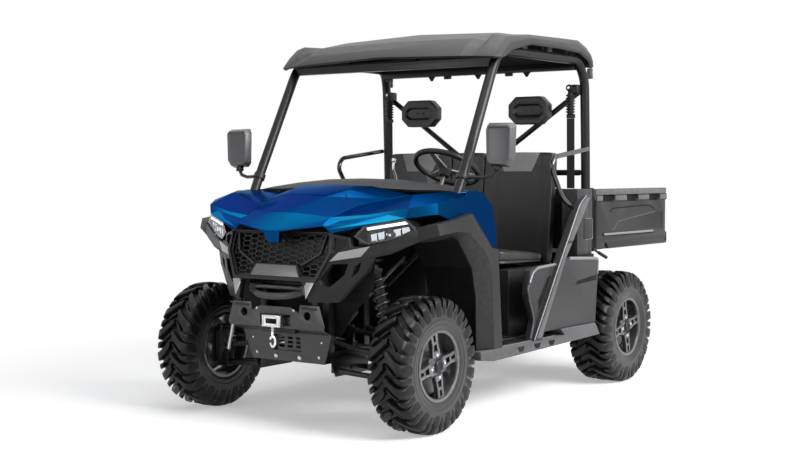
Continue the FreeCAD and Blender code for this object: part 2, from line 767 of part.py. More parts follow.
def grille_plane(z):
    """The X of the grille's leaning front face at height z."""
    return 1341 + (911 - z) * 53.0 / 209.0


def leaning_face(outline, proud):
    points = [Vector(grille_plane(z) + proud, across(y), z) for y, z in outline]
    return Part.Face(Part.makePolygon(points + points[:1]))


def leaning_plate(name, outline, depth, proud=0.0):
    return feature(name, leaning_face(outline, proud).extrude(Vector(-depth, 0, 0)))


def both_ways(outline):
    """A half outline, from the middle line outwards and back, closed by its reflection."""
    return outline + [(-y, z) for y, z in reversed(outline) if y]


def hex_mesh(outline):
    """A sheet cut by rows of wide flat-topped hexagons, every second column half a row lower."""
    holes = []
    columns = int(300 / s.mesh_pitch_y) + 1
    rows = int(210 / s.mesh_pitch_z) + 1
    across = float(s.mesh_pitch_y) - float(s.mesh_bar)
    high = float(s.mesh_pitch_z) / 2 - float(s.mesh_bar) / 2
    for column in range(-columns, columns + 1):
        for row in range(rows + 1):
            y = column * float(s.mesh_pitch_y)
            z = 911 - float(s.mesh_pitch_z) * (row + 0.5 * (column % 2))
            corners = [(0.64 * across, 0), (0.34 * across, high), (-0.34 * across, high), (-0.64 * across, 0),
                       (-0.34 * across, -high), (0.34 * across, -high)]
            holes.append(leaning_face([(y + dy, z + dz) for dy, dz in corners], -14))
    sheet = leaning_face(outline, -14).cut(Part.makeCompound(holes))
    return feature("mesh", sheet.extrude(Vector(-float(s.mesh_thick), 0, 0)))


def wing_plane(y, z, back=0.0):
    """A point of the swept face beside the grille, on the vehicle's left."""
    return Vector(1520.5 - 0.547 * y - back, across(y), z)


def wing_plate(name, outline, depth, back=0.0, holes=()):
    faces = []
    for loop in [outline] + list(holes):
        points = [wing_plane(y, z, back) for y, z in loop]
        faces.append(Part.Face(Part.makePolygon(points + points[:1])))
    face = faces[0].cut(faces[1:]) if holes else faces[0]
    return feature(name, face.extrude(Vector(-depth, 0, 0)))


def front():
    opening = [(0, 911), (292, 911), (300, 819), (240, 704), (0, 704)]
    inner = [(0, 903), (283, 903), (291, 820), (235, 712), (0, 712)]
    frame = cut("grille_rim", leaning_plate("grille_outer", both_ways(opening), float(s.grille_thick), -2),
                leaning_plate("grille_opening", both_ways(inner), 60, 20))
    mesh = hex_mesh(both_ways([(0, 905), (285, 905), (293, 820), (237, 710), (0, 710)]))
    bars = []
    for side in (1, -1):
        brow = [(side * y, z) for y, z in ((262, 906), (273, 906), (252, 816), (148, 756), (138, 764), (241, 820))]
        bars.append(leaning_plate("grille_brow", brow, 18, -1))
    plate = both_ways([(0, 764), (127, 764), (155, 704), (0, 704)])
    badge = leaning_plate("blank_plate", plate, 22, 4)
    whole = fuse("grille_whole", frame, mesh, badge, *bars)
    node("grille", cut("grille_seated", whole, nodes["fenders"]))
    outer = both_ways([(0, 915), (304, 915), (314, 822), (250, 690), (0, 690)])
    hole = both_ways([(0, 911.3), (292.3, 911.3), (300.3, 819), (240.3, 703.7), (0, 703.7)])
    ring = leaning_plate("fascia_outer", outer, 46, 8)
    strut = [(296, 910), (375, 893), (382, 852), (462, 850), (470, 800), (449, 740), (347, 619), (330, 597),
             (213, 595), (183, 690), (250, 700), (296, 790)]
    loop = [(306, 772), (374, 774), (357, 722), (296, 664), (262, 676), (254, 698)]
    slot = [(427, 784), (416, 742), (386, 710), (398, 762)]
    pocket = [(312, 895), (364, 884), (368, 856), (330, 830), (312, 838)]
    cheek = wing_plate("cheek", strut, 30, 0, [loop, slot, pocket])
    lining = wing_plate("cheek_lining", [(304, 900), (375, 890), (380, 852), (300, 800)], 8, 22)
    arm = body_fold("lamp_arm", [
        [(1210, 428, 860), (1276, 446, 852), (1280, 440, 797), (1216, 420, 792)],
        [(1168, 500, 886), (1232, 527, 876), (1226, 539, 819), (1168, 508, 815)],
        [(1112, 618, 938), (1164, 653, 934), (1161, 658, 877), (1108, 624, 872)],
    ], lambda point: point + Vector(-7, -4, 0))
    back = s.frame_front_x + s.bumper_reach
    bracket = box("chin_bracket", (back - 14, back), (216, 246), (560, 640))
    side = fuse("fascia_side", cheek, lining, arm, bracket)
    lamp_space = cut_room("lamp_space")
    rooms = [leaning_plate("fascia_hole", hole, 160, 60), lamp_space, mirror(lamp_space)]
    whole = cut("fascia_open", fuse("fascia_whole", ring, side, mirror(side)), *rooms)
    node("front_fascia", cut("fascia_seated", whole, nodes["fenders"]))
    accent = wing_plate("accent", [(296, 784), (336, 826), (462, 855), (426, 807)], 4, -4.3)
    triangle = leaning_plate("chin_triangle", [(188, 687), (248, 688), (214, 612)], 4, 12.3)
    accents = cut("accent_seated", gather("accent_set", accent, triangle), whole)
    node("front_accents", pair("accent_pair", accents))


def headlights():
    """Each lamp is an open housing with a light bar and a projector in it, behind its own lens."""
    outline = [(392, 899), (434, 949), (600, 979), (644, 930), (567, 888), (443, 862)]
    inside = [(402, 899), (437, 941), (597, 970), (634, 930), (565, 896), (446, 871)]
    room = wing_plate("lamp_room", inside, 50, 8)
    case = cut("lamp_case", wing_plate("lamp_block", outline, 62, 10), room)
    bar = wing_plate("lamp_bar", [(437, 942), (598, 971), (612, 955), (440, 924)], 47, 13)
    barrel = cylinder("projector", "X", (0, 0, 0), 19, 70)
    barrel.Placement = Placement(wing_plane(520, 905, 66), Rotation(Vector(0, 0, 1), Vector(1, 0.45, 0)))
    bracket = wing_plate("lamp_bracket", [(400, 820), (455, 820), (455, 880), (400, 899)], 15, 30)
    nose = cut("projector_seat", barrel, wing_plate("projector_end", outline, 40, -30))
    inner = fuse("lamp_inner", case, bar, nose, bracket)
    node("headlights", pair("lamp_pair", cut("lamp_seated", inner, nodes["front_fascia"])))
    node("lamp_lenses", pair("lens_pair", wing_plate("lens", outline, 2.5, 7)))


# Bonnet and fenders

def thinner(x, y, z):
    """The step from a panel's outer skin to its inner one."""
    return lambda point: point + Vector(x, y, z)


def hood():
    """The centre panel with its falling nose, and the beak that drops over the grille."""
    seam = hood_seam()
    rows = [
        [(FX + 312, 0, 922), (FX + 304, 57, 925), seam[0]],
        [(FX + 225, 0, 1004), (FX + 209, 74, 1002), seam[1]],
        [(FX + 50, 0, 1078), (FX + 44, 122, 1075), seam[2]],
        [(FX - 60, 0, 1112), (FX - 70, 180, 1108), seam[3]],
        [(FX - 181, 0, 1130), (FX - 195, 220, 1124), seam[4]],
    ]
    shell = body_fold("hood_shell", [mirrored(row) for row in rows], thinner(-2, 0, -s.hood_thick))
    beak = body_fold("beak", [mirrored([(FX + 301, 54, 926)]), mirrored([(FX + 282, 32, 866)])], thinner(-20, 0, 0))
    stay = box("hood_stay", (FX - 24, FX - 16), (s.rail_y - 10, s.rail_y + 10), (s.tower_z, 1081))
    node("hood", fuse("hood_whole", shell, beak, stay, mirror(stay)))


def hood_seam():
    """The line from nose to cowl where the centre panel meets the fender."""
    return [(FX + 236, 254, 950), (FX + 173, 253, 983), (FX + 25, 302, 1036), (FX - 120, 356, 1064),
            (FX - 248, 408, 1083)]


def fenders():
    gap = Vector(0, float(s.seam_gap), 0)
    seam = [tuple(Vector(*point) + gap) for point in hood_seam()]
    rows = [
        [seam[0], (FX + 232, 272, 944), (FX + 228, 285, 930), (FX + 223, 296, 911)],
        [seam[1], (FX + 166, 306, 968), (FX + 172, 400, 958), (FX + 164, 437, 953)],
        [seam[2], (FX + 118, 430, 997), (FX + 88, 520, 998), (FX + 108, 530, 969)],
        [seam[3], (FX - 49, 560, 1086), (FX + 56, 612, 1028), (FX + 66, 600, 983)],
        [seam[4], (FX - 180, 640, 1096), (FX - 60, 688, 1050), (FX - 58, 695, 999)],
        [(FX - 254, 412, 1084), (FX - 300, 640, 1099), (FX - 200, 698, 1068), (FX - 147, 700, 973)],
        [(FX - 262, 414, 1085), (FX - 322, 662, 1101), (FX - 322, 700, 1080), (FX - 284, 700, 998)],
    ]
    top = body_fold("fender_top", rows, thinner(-3, -5, -7))
    wall = prism("fender_side", "XZ", [
        (FX - 280, 1001), (FX - 280, 1078), (FX - 312, 1098), (FX - 425, 1100), (FX - 523, 1028), (FX - 553, 911),
        (FX - 564, 828), (FX - 520, 832), (FX - 464, 836),
    ], s.fender_y - 7, s.fender_y)
    cap = body_fold("fender_cap", [
        [(FX - 300, 640, 1099), (FX - 300, 694, 1099)],
        [(FX - 425, 640, 1104), (FX - 425, 699, 1100)],
        [(FX - 520, 655, 1032), (FX - 521, 699, 1028)],
    ], thinner(2, 0, -6))
    left = cut("fender_left", fuse("fender_parts", top, wall, cap),
               grown_pillar("pillar_room", a_pillar_route(), s.seat_gap), cut_room("lamp_shadow"), nodes["hood"],
               mirror(nodes["hood"]))
    node("fenders", pair("fender_pair", left))
    return left


def cut_room(name):
    """The space of the lamp and its lens, with a seam around them."""
    outline = [(388, 899), (432, 952), (602, 982), (648, 930), (567, 884), (441, 858)]
    return wing_plate(name, outline, 70, 4)


def flares(fender):
    route = [
        [(1158, 640, 938), (1164, 654, 934), (1162, 659, 878), (1140, 640, 872)],
        [(FX - 27, 697, 960), (FX - 5, 726, 955), (FX - 5, 740, 905), (FX - 20, 700, 880)],
        [(FX - 147, 701, 973), (FX - 138, 735, 970), (FX - 145, 745, 918), (FX - 160, 705, 893)],
        [(FX - 284, 701, 998), (FX - 281, 738, 996), (FX - 250, 745, 908), (FX - 210, 705, 878)],
        [(FX - 464, 701, 833), (FX - 458, 738, 831), (FX - 420, 745, 786), (FX - 330, 705, 740)],
        [(FX - 520, 701, 825), (FX - 515, 738, 820), (FX - 450, 745, 700), (FX - 366, 705, 600)],
        [(FX - 562, 701, 344), (FX - 558, 738, 344), (FX - 472, 745, 344), (FX - 372, 705, 344)],
    ]
    shell = body_fold("flare", route, thinner(0, -6, -3))
    shell = cut("flare_trimmed", shell, fender, cut_room("lamp_clearance"))
    node("flares", pair("flare_pair", shell))
    thick = s.liner_thick
    line = [(FX - 25, 878), (FX - 160, 890), (FX - 214, 872), (FX - 334, 736), (FX - 372, 600), (FX - 376, 344)]
    sheet = prism("liner", "XZ", [(x - thick, z + thick) for x, z in line] + line[::-1], 430, s.fender_y + 2)
    node("wheel_liners", pair("liner_pair", cut("liner_trimmed", sheet, shell)))


# Cab

def a_pillar_route():
    y = s.a_pillar_y
    return [(925, y - 32, 908), (808, y, 1096), (480, y - 8, 1723), (420, y - 12, s.roof_rail_z),
            (-370, y + 8, s.roof_rail_z), (s.b_pillar_x + 22, s.b_pillar_y, 1695), (s.b_pillar_x, s.b_pillar_y, 1110),
            (s.b_pillar_x, s.b_pillar_y, s.rail_z + 80)]


def cage():
    hoop = cut("hoop", tube("hoop_tube", a_pillar_route(), s.pillar_radius),
               box("foot_trim", (800, 1000), (500, 700), (800, 926)))
    node("cage_hoops", pair("hoop_pair", hoop))
    far = s.a_pillar_y - 12
    front_bar = box("front_bar", (448, 488), (-far, far), (s.roof_rail_z - 80, s.roof_rail_z - 38))
    rear_bar = box("rear_bar", (-372, -336), (-s.a_pillar_y, s.a_pillar_y), (1745, 1785))
    back_bar = cylinder("back_bar", "Y", (-418, -(s.b_pillar_y - 26), 1190), 16, s.b_pillar_y * 2 - 52)
    brace = tube("brace", [(-418, s.b_pillar_y - 31, 1631), (-404, 120, 1274), (-412, 30, 1205)], 15)
    bars = fuse("cross_set", front_bar, rear_bar, back_bar, brace, mirror(brace))
    node("cage_crossbars", cut("cross_trimmed", bars, nodes["cage_hoops"]))


def roof():
    """A moulded roof: a sloping visor, raised middle, a groove at each side and a rolled rim outside it."""
    wide = s.roof_half_width
    stations = [
        ((577, -18), (569, -34), (563, -37), (560, -39), (540, -42), (512, -44), (509, -44)),
        ((508, 29), (512, 17), (504, 4), (500, 20), (486, 14), (474, -8), (468, -30)),
        ((426, 72), (432, 64), (428, 46), (438, 76), (420, 64), (408, 34), (398, 6)),
        ((200, 128), (200, 111), (200, 77), (200, 87), (200, 91), (200, 71), (200, 48)),
        ((-100, 135), (-100, 119), (-100, 85), (-100, 95), (-100, 99), (-100, 75), (-100, 50)),
        ((-330, 128), (-330, 115), (-330, 89), (-330, 100), (-330, 104), (-330, 73), (-330, 43)),
        ((-440, 103), (-440, 91), (-436, 75), (-436, 77), (-434, 71), (-440, 33), (-430, 8)),
        ((-474, 53), (-472, 41), (-468, 31), (-468, 29), (-466, 23), (-464, 3), (-452, -21)),
        ((-478, -1), (-477, -7), (-474, -17), (-474, -21), (-472, -25), (-470, -29), (-468, -29)),
    ]
    lines = (0, wide - 204, wide - 132, wide - 92, wide - 24, wide - 1, wide)
    rows = [mirrored([(x, y, s.roof_rail_z + z) for (x, z), y in zip(row, lines)]) for row in stations]
    thick = float(s.roof_thick)

    def inner(point):
        return Vector(50 + (point.x - 50) * (1 - thick / 520), point.y * (1 - thick / float(wide)), point.z - thick)

    shell = folded("roof_shell", rows, inner)
    pads = []
    for x, rise in ((-320, 96), (-60, 90), (200, 81), (390, 66)):
        pad = box("roof_pad", (x - 25, x + 25), (s.roof_half_width - 82, s.roof_half_width - 46),
                  (s.roof_rail_z, s.roof_rail_z + rise))
        pads += [pad, mirror(pad)]
    node("roof", cut("roof_seated", fuse("roof_whole", shell, *pads), nodes["cage_hoops"]))


def panels():
    """The flat and folded panels that close the sides and the floor of the cab."""
    wide = s.half_width
    strut = prism("strut", "XZ", [(260, 341), (-7, 718), (-225, 1021), (-300, 1068), (-348, 1068), (-75, 745),
                                  (178, 341)], s.fender_y, wide)
    lower = prism("lower_panel", "XZ", [(176, 376), (-75, 742), (-124, 742), (-460, 725), (-425, 376)],
                  wide - 28, wide - 8)
    kick = prism("kick_panel", "XZ", [(258, 344), (219, 442), (288, 579), (264, 695), (219, 708), (-4, 716)],
                 wide - 60, wide - 22)
    case = cut("pillar_case", box("pillar_box", (-400, -270), (s.b_pillar_y - 55, s.fender_y + 5), (745, 1102)),
               grown_pillar("pillar_bore", a_pillar_route(), 0))
    node("side_panels", pair("side_pair", fuse("side_half", strut, lower, kick, case)))
    sill = prism("sill", "XZ", [(FX - 350, 298), (FX - 470, 282), (-467, 305), (-412, 374), (-21, 374),
                                (-60, 341), (FX - 562, 341), (FX - 350, 341)], s.door_sill_y, wide)
    stand = box("stand_room", (s.b_pillar_x - 40, s.b_pillar_x + 40), (500, s.b_pillar_y + 30), (250, 500))
    node("rockers", pair("sill_pair", cut("sill_cut", sill, stand)))
    return strut


def cab(column):
    low = s.floor_z
    thick = s.floor_thick
    floor = prism("floor", "XZ", [
        (235, low), (690, low), (745, 520), (745, 900), (738, 900), (738, 525), (686, low + thick),
        (242, low + thick), (242, 640), (235, 640),
    ], -412, 412)
    edge = box("floor_edge", (235, 560), (412, s.door_sill_y - s.seat_gap), (low, low + thick))
    whole = fuse("floor_whole", floor, edge, mirror(edge))
    node("floor_pan", cut("floor_cut", whole, column))
    seat_z = s.seat_base_z
    outer = box("seat_base_outer", (-330, 230), (s.seat_gap - s.door_sill_y, s.door_sill_y - s.seat_gap), (low, seat_z))
    inner = box("seat_base_inner", (-324, 224), (7 - s.door_sill_y, s.door_sill_y - 7), (330, seat_z - 8))
    node("seat_box", cut("seat_base", outer, inner))
    dash = dash_shell()
    node("dashboard", cut("dash_cut", dash, column, nodes["cage_hoops"], nodes["fenders"]))


def dash_shell():
    """The dash top falls towards the doors, with the instrument pod standing on it before the driver."""
    half = s.a_pillar_y - 12
    stations = [
        (0, (905, 1120), (800, 1150), (705, 1160), (602, 1122), (570, 1010), (600, 905), (735, 905)),
        (220, (892, 1116), (795, 1144), (704, 1155), (602, 1118), (570, 1010), (600, 905), (735, 905)),
        (420, (852, 1106), (775, 1130), (702, 1138), (604, 1104), (572, 1006), (602, 905), (735, 905)),
        (half - 82, (822, 1106), (762, 1116), (700, 1121), (608, 1090), (576, 1000), (604, 905), (735, 905)),
        (half, (792, 1098), (750, 1100), (700, 1102), (612, 1076), (580, 996), (606, 905), (735, 905)),
    ]
    rows = []
    for y, *profile in [(-row[0],) + row[1:] for row in stations[:0:-1]] + stations:
        rows.append([(x, y, z) for x, z in profile])
    centre = Vector(760, 0, 1015)

    def inner(point):
        flat = Vector(centre.x, point.y, centre.z)
        return flat + (point - flat) * 0.88

    pod = loft("pod", [
        [(702, s.hand_wheel_y - 62, 1120), (702, s.hand_wheel_y + 62, 1120), (702, s.hand_wheel_y + 50, 1176),
         (702, s.hand_wheel_y - 50, 1176)],
        [(624, s.hand_wheel_y - 62, 1098), (624, s.hand_wheel_y + 62, 1098), (624, s.hand_wheel_y + 46, 1150),
         (624, s.hand_wheel_y - 46, 1150)],
    ])
    return fuse("dash_whole", folded("dash", rows, inner), pod)


def seats():
    bottom = s.seat_base_z + s.seat_gap
    top = bottom + s.cushion_thick
    cushion = prism("cushion", "XZ", [(-210, bottom), (215, bottom), (240, bottom + 40), (205, top), (-190, top - 18)],
                    112, s.door_sill_y - 30)
    middle = prism("middle_cushion", "XZ", [(-210, bottom), (215, bottom), (240, bottom + 40), (205, top),
                                            (-190, top - 18)], -108, 108)
    node("seat_cushions", gather("cushion_set", cushion, mirror(cushion), middle))
    outline = [(-225, bottom), (-300, 1305), (-362, 1305), (-320, bottom)]
    back = prism("back_rest", "XZ", outline, 112, s.door_sill_y - 30)
    middle_back = prism("middle_back", "XZ", outline, -108, 108)
    node("seat_backs", gather("back_set", back, mirror(back), middle_back))
    rest = prism("head_rest", "YZ", [(287, 1456), (441, 1456), (487, 1500), (487, 1566), (441, 1610), (287, 1610),
                                     (241, 1566), (241, 1500)], -382, -318)
    clip = box("head_rest_clip", (-402, -380), (380, 420), (1462, 1492))
    left = cut("head_rest_left", fuse("head_rest_whole", rest, clip), nodes["cage_crossbars"])
    node("headrests", pair("head_rest_pair", left))


def trim(strut):
    housing = loft("mirror_case", [
        [(712, 745, 1215), (712, 900, 1215), (712, 900, 1425), (712, 745, 1425)],
        [(750, 760, 1232), (750, 885, 1232), (750, 885, 1408), (750, 760, 1408)],
    ])
    arm = tube("mirror_arm", [(768, 662, 1168), (752, 740, 1165), (735, 800, 1180), (730, 810, 1222)], 9)
    left = cut("mirror_left", fuse("mirror_parts", housing, arm), nodes["cage_hoops"])
    node("mirrors", pair("mirror_pair", left))
    hip = tube("hip_bar", [(-410, 692, 1318), (-20, 700, 1272), (12, 700, 1215), (-113, 700, 1049),
                           (-240, 708, 993)], 13)
    node("hip_bars", pair("hip_pair", cut("hip_cut", hip, strut, nodes["cage_hoops"])))
    axis = hand_wheel_axis()
    centre = hand_wheel_centre()
    radius = s.hand_wheel_radius
    ring = Part.makeTorus(radius, 15, centre, axis)
    hub = Part.makeCylinder(34, s.hub_drop - 11, centre - axis * s.hub_drop, axis)
    spokes = []
    for angle in (90, 210, 330):
        spoke = Part.makeBox(radius, 30, 8, Vector(0, -15, -19))
        spoke.rotate(Vector(), Vector(0, 0, 1), angle)
        spoke.Placement = Placement(centre, Rotation(Vector(0, 0, 1), axis)).multiply(spoke.Placement)
        spokes.append(spoke)
    node("steering_wheel", feature("hand_wheel", ring.fuse([hub] + spokes)))
    lever = tube("gear_stick", [(606, 130, 1116), (600, 130, 1165), (624, 130, 1205), (618, 130, 1258)], 7)
    node("gear_lever", cut("lever_cut", lever, nodes["dashboard"]))
    belt = box("belt_web", (-372, -368), (585, 632), (1102 + s.seat_gap, 1600))
    folds = []
    for number in range(int(s.boot_folds)):
        low = 1512 + number * 15
        folds += [(14, low), (25, low + 5), (25, low + 9), (14, low + 14)]
    points = [Vector(0, 0, 1508), Vector(14, 0, 1508)] + [Vector(r, 0, z) for r, z in folds]
    points += [Vector(14, 0, folds[-1][1] + 4), Vector(0, 0, folds[-1][1] + 4)]
    boot = Part.Face(Part.makePolygon(points + points[:1])).revolve(Vector(), Vector(0, 0, 1), 360)
    boot.translate(Vector(-366, 607, 0))
    buckle = box("belt_tongue", (-378, -362), (584, 632), (1484, 1510))
    hanger = box("belt_hanger", (-426, -352), (592, s.b_pillar_y - 13), (1616, 1672))
    whole = fuse("belt_set", belt, feature("belt_boot", boot), buckle, hanger)
    set_of = cut("belt_fit", whole, nodes["cage_hoops"], nodes["cage_crossbars"])
    node("seat_belts", pair("belt_pair", set_of))


def machinery():
    feet = [box("engine_foot", xs, ys, (s.rail_z + 12, s.rail_z + 60))
            for xs in ((-640, -620), (-385, -345)) for ys in ((40, 120), (-120, -40))]
    node("engine_block", fuse("engine_whole", box("engine", (-640, -365), (-160, 150), (352, 640)), *feet))
    can = cylinder("silencer", "X", (-1160, -60, 560), 70, 240)
    hanger = box("silencer_hanger", (s.bed_hinge_x - 10, s.bed_hinge_x + 10), (-80, -40),
                 (600, s.bed_bottom_z - 48))
    node("exhaust", fuse("exhaust_whole", can, hanger))
    lamp = box("tail_lamp", (s.bed_hinge_x - 70, s.bed_hinge_x - 40), (226, 316), (592, 676))
    node("tail_lamps", pair("tail_pair", lamp))


def bed():
    """The cargo bed between its side walls, with hinge lugs below, and the gate on its two pins."""
    wall = s.bed_wall
    wide = s.bed_half_width
    rear = s.bed_rear_x
    inside = wide - wall
    gate_front = rear + s.gate_thick
    outer = prism("bed_outer", "YZ", both_ways([
        (0, s.bed_bottom_z), (wide - 6, s.bed_bottom_z), (wide, s.bed_bottom_z + 10), (wide, s.bed_bottom_z + 64),
        (wide - s.side_sink, s.bed_bottom_z + 75), (wide - s.side_sink, s.bed_top_z - 74), (wide, s.bed_top_z - 68),
        (wide, s.bed_top_z - 39), (wide - 5, s.bed_top_z - 35), (wide - 5, s.bed_top_z), (0, s.bed_top_z),
    ]), rear, s.bed_front_x)
    inner = box("bed_inner", (rear - 10, s.bed_front_x - wall), (-inside, inside), (s.bed_floor_z, s.bed_top_z + 10))
    gate_room = box("gate_room", (rear - 10, gate_front + s.gate_gap * 2), (-inside, inside),
                    (s.bed_bottom_z - 10, s.bed_floor_z + 10))
    pin_x = rear + s.gate_thick / 2
    pin_z = s.bed_bottom_z + 8 + s.gate_pin_drop
    pin_hole = cylinder("gate_pin_hole", "Y", (pin_x, inside - 10, pin_z), s.pin_radius + s.pin_play, wall + 20)
    lug_y = s.rail_y + s.rail_width / 2 + 6
    lug = cut("bed_lug", box("lug_plate", (s.bed_hinge_x - 18, s.bed_hinge_x + 18), (lug_y, lug_y + 22),
                             (s.bed_hinge_z - 18, s.bed_bottom_z + 1)),
              cylinder("lug_hole", "Y", (s.bed_hinge_x, lug_y - 10, s.bed_hinge_z), s.pin_radius + s.pin_play, 50))
    cuts = [inner, gate_room, pin_hole, mirror(pin_hole)]
    for x in (s.bed_front_x - 178, s.bed_front_x - 481, s.bed_front_x - 782):
        slot = prism("rail_slot", "XZ", [(x - 75, s.bed_top_z - 58), (x - 62, s.bed_top_z - 74),
                                         (x + 75, s.bed_top_z - 74), (x + 75, s.bed_top_z - 38),
                                         (x + 62, s.bed_top_z - 24), (x - 75, s.bed_top_z - 24)],
                     wide - s.slot_depth, wide + 5)
        cuts += [slot, mirror(slot)]
    notch = prism("side_notch", "XZ", [(-657, s.bed_bottom_z - 5), (-622, 802), (-612, 802), (-570, s.bed_bottom_z - 5)],
                  wide - 12, wide + 5)
    relief = prism("side_relief", "XZ", [(-727, 862), (-799, 914), (-1299, 961), (-1392, 952), (-1392, 862)],
                   wide - s.side_sink - 3, wide)
    tray = cut("bed_tray", outer, *cuts, notch, mirror(notch), relief, mirror(relief))
    ledge = prism("side_ledge", "XZ", [(-600, 838), (-600, 853), (-1240, 853), (-1252, 838)],
                  wide - s.side_sink - 1, wide - 1)
    node("bed_box", fuse("bed_shape", tray, lug, mirror(lug), ledge, mirror(ledge)))
    gate = box("gate", (rear, gate_front), (s.gate_gap - inside, inside - s.gate_gap),
               (s.bed_bottom_z + 8, s.bed_top_z - 40))
    pin = cylinder("gate_pin", "Y", (pin_x, inside - s.gate_gap - 10, pin_z), s.pin_radius, s.gate_gap + wall)
    node("tailgate", fuse("gate_shape", gate, pin, mirror(pin)))


def check_and_write():
    doc.recompute()
    faults = []
    for thing in doc.Objects:
        if "Invalid" in thing.State or "Error" in thing.State:
            faults.append("%s %s" % (thing.Name, thing.State))
    for name, thing in nodes.items():
        shape = thing.Shape
        if shape.isNull() or not shape.isValid() or not shape.Solids:
            faults.append("%s has no valid solid" % name)
    if faults:
        raise SystemExit("\n".join(faults))
    os.makedirs("parts", exist_ok=True)
    for name, thing in nodes.items():
        thing.Shape.exportStep("parts/%s.step" % name)
    print(len(nodes), "nodes written")


wheels()
column_room = steering()
front_damper, rear_damper = shocks()
arms(front_damper, rear_damper)
driveline()
chassis()
bumper()
winch()
hood()
fender = fenders()
front()
headlights()
flares(fender)
cage()
roof()
strut_band = panels()
cab(column_room)
seats()
trim(strut_band)
machinery()
bed()
check_and_write()
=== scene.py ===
import json
import math

import bmesh
import bpy
from mathutils import Matrix, Vector


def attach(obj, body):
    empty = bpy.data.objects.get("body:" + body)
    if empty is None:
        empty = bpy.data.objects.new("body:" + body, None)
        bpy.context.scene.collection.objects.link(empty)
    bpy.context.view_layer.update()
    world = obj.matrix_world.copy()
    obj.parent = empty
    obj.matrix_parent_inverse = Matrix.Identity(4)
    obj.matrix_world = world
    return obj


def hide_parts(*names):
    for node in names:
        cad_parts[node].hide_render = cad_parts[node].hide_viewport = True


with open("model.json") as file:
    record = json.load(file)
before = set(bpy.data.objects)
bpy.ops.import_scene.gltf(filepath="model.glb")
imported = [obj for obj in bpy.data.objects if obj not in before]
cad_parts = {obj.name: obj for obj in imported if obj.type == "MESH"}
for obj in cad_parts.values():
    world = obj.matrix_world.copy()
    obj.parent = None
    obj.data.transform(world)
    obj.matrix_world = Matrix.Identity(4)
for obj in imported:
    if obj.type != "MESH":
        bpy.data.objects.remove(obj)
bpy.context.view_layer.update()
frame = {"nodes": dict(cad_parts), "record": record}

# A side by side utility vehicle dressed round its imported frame. Metres; +X forward, +Y the driver's side.

scene = bpy.context.scene
nodes = frame["nodes"]
materials = {}

FRONT_AXLE = 1.120
REAR_AXLE = -0.810
AXLE_HEIGHT = 0.315
FORWARD, LEFT, UP = (1, 0, 0), (0, 1, 0), (0, 0, 1)
SIDES = (("left", 1), ("right", -1))


def mm(x, y, z):
    return Vector((x, y, z)) / 1000


def linked(name, data):
    """A camera, light or mesh as an object of the scene."""
    made = bpy.data.objects.new(name, data)
    scene.collection.objects.link(made)
    return made


# Camera, light and floor

PHOTO_LENS, PHOTO_PLACE = 60.13, (6.1136, 4.0558, 1.1866)
PHOTO_TURN, PHOTO_TIP, PHOTO_ROLL = -144.674, -2.573, 0.042


def set_camera():
    """The photograph's own viewpoint, solved from the wheels and the body's left and right pairs."""
    data = bpy.data.cameras.new("photo_camera")
    data.sensor_width = 36
    data.lens = PHOTO_LENS
    data.clip_end = 100
    turn, tip, roll = (math.radians(angle) for angle in (PHOTO_TURN, PHOTO_TIP, PHOTO_ROLL))
    ahead = Vector((math.cos(tip) * math.cos(turn), math.cos(tip) * math.sin(turn), math.sin(tip)))
    facing = ahead.to_track_quat("-Z", "Y").to_matrix().to_4x4()
    scene.camera = linked("photo_camera", data)
    scene.camera.matrix_world = Matrix.Translation(PHOTO_PLACE) @ facing @ Matrix.Rotation(roll, 4, "Z")


def softbox(name, place, target, width, height, power, spread=180):
    data = bpy.data.lights.new(name, "AREA")
    data.shape = "RECTANGLE"
    data.size = width
    data.size_y = height
    data.spread = math.radians(spread)
    data.energy = power
    lamp = linked(name, data)
    lamp.location = place
    lamp.rotation_mode = "QUATERNION"
    lamp.rotation_quaternion = (Vector(target) - Vector(place)).to_track_quat("-Z", "Y")


def seen_directly(tree):
    """A mask that is 1 for camera, glossy and transmitted rays, which see the pale studio."""
    path = add(tree, "LightPath").outputs
    mask = path["Is Camera Ray"]
    for word in ("Is Glossy Ray", "Is Transmission Ray"):
        mask = maths(tree, "MAXIMUM", mask, path[word])
    return mask


def set_studio():
    """A pale room: a dim world, three soft lights, and the paper under the wheels."""
    scene.view_settings.view_transform = "Standard"
    scene.world = bpy.data.worlds.new("studio")
    scene.world.use_nodes = True
    tree = scene.world.node_tree
    tree.nodes.clear()
    fill = add(tree, "Background", Color=(0.95, 0.97, 1, 1), Strength=0.16)
    pale = add(tree, "Background", Color=(1, 1, 1, 1))
    mix = add(tree, "MixShader", Fac=seen_directly(tree), i1=fill.outputs[0], i2=pale.outputs[0])
    add(tree, "OutputWorld", i0=mix.outputs[0])
    softbox("overhead", (0.2, 0.6, 4.4), (0.1, 0.1, 0.5), 4.5, 3.2, 115)
    softbox("left_wall", (0.2, 5.0, 3.6), (-0.1, 0.5, 1.35), 4.5, 2.0, 122, 90)
    softbox("front_wall", (6.2, -1.8, 1.7), (0.8, 0, 0.7), 2.0, 2.2, 50)
    bm = bmesh.new()
    bmesh.ops.create_grid(bm, x_segments=2, y_segments=2, size=40)
    mesh = bpy.data.meshes.new("floor")
    bm.to_mesh(mesh)
    bm.free()
    mesh.materials.append(pale_floor())
    floor = linked("floor", mesh)


FLOOR_GLOW = 0.39
PAPER_ENDS = (1.7, 3.4)


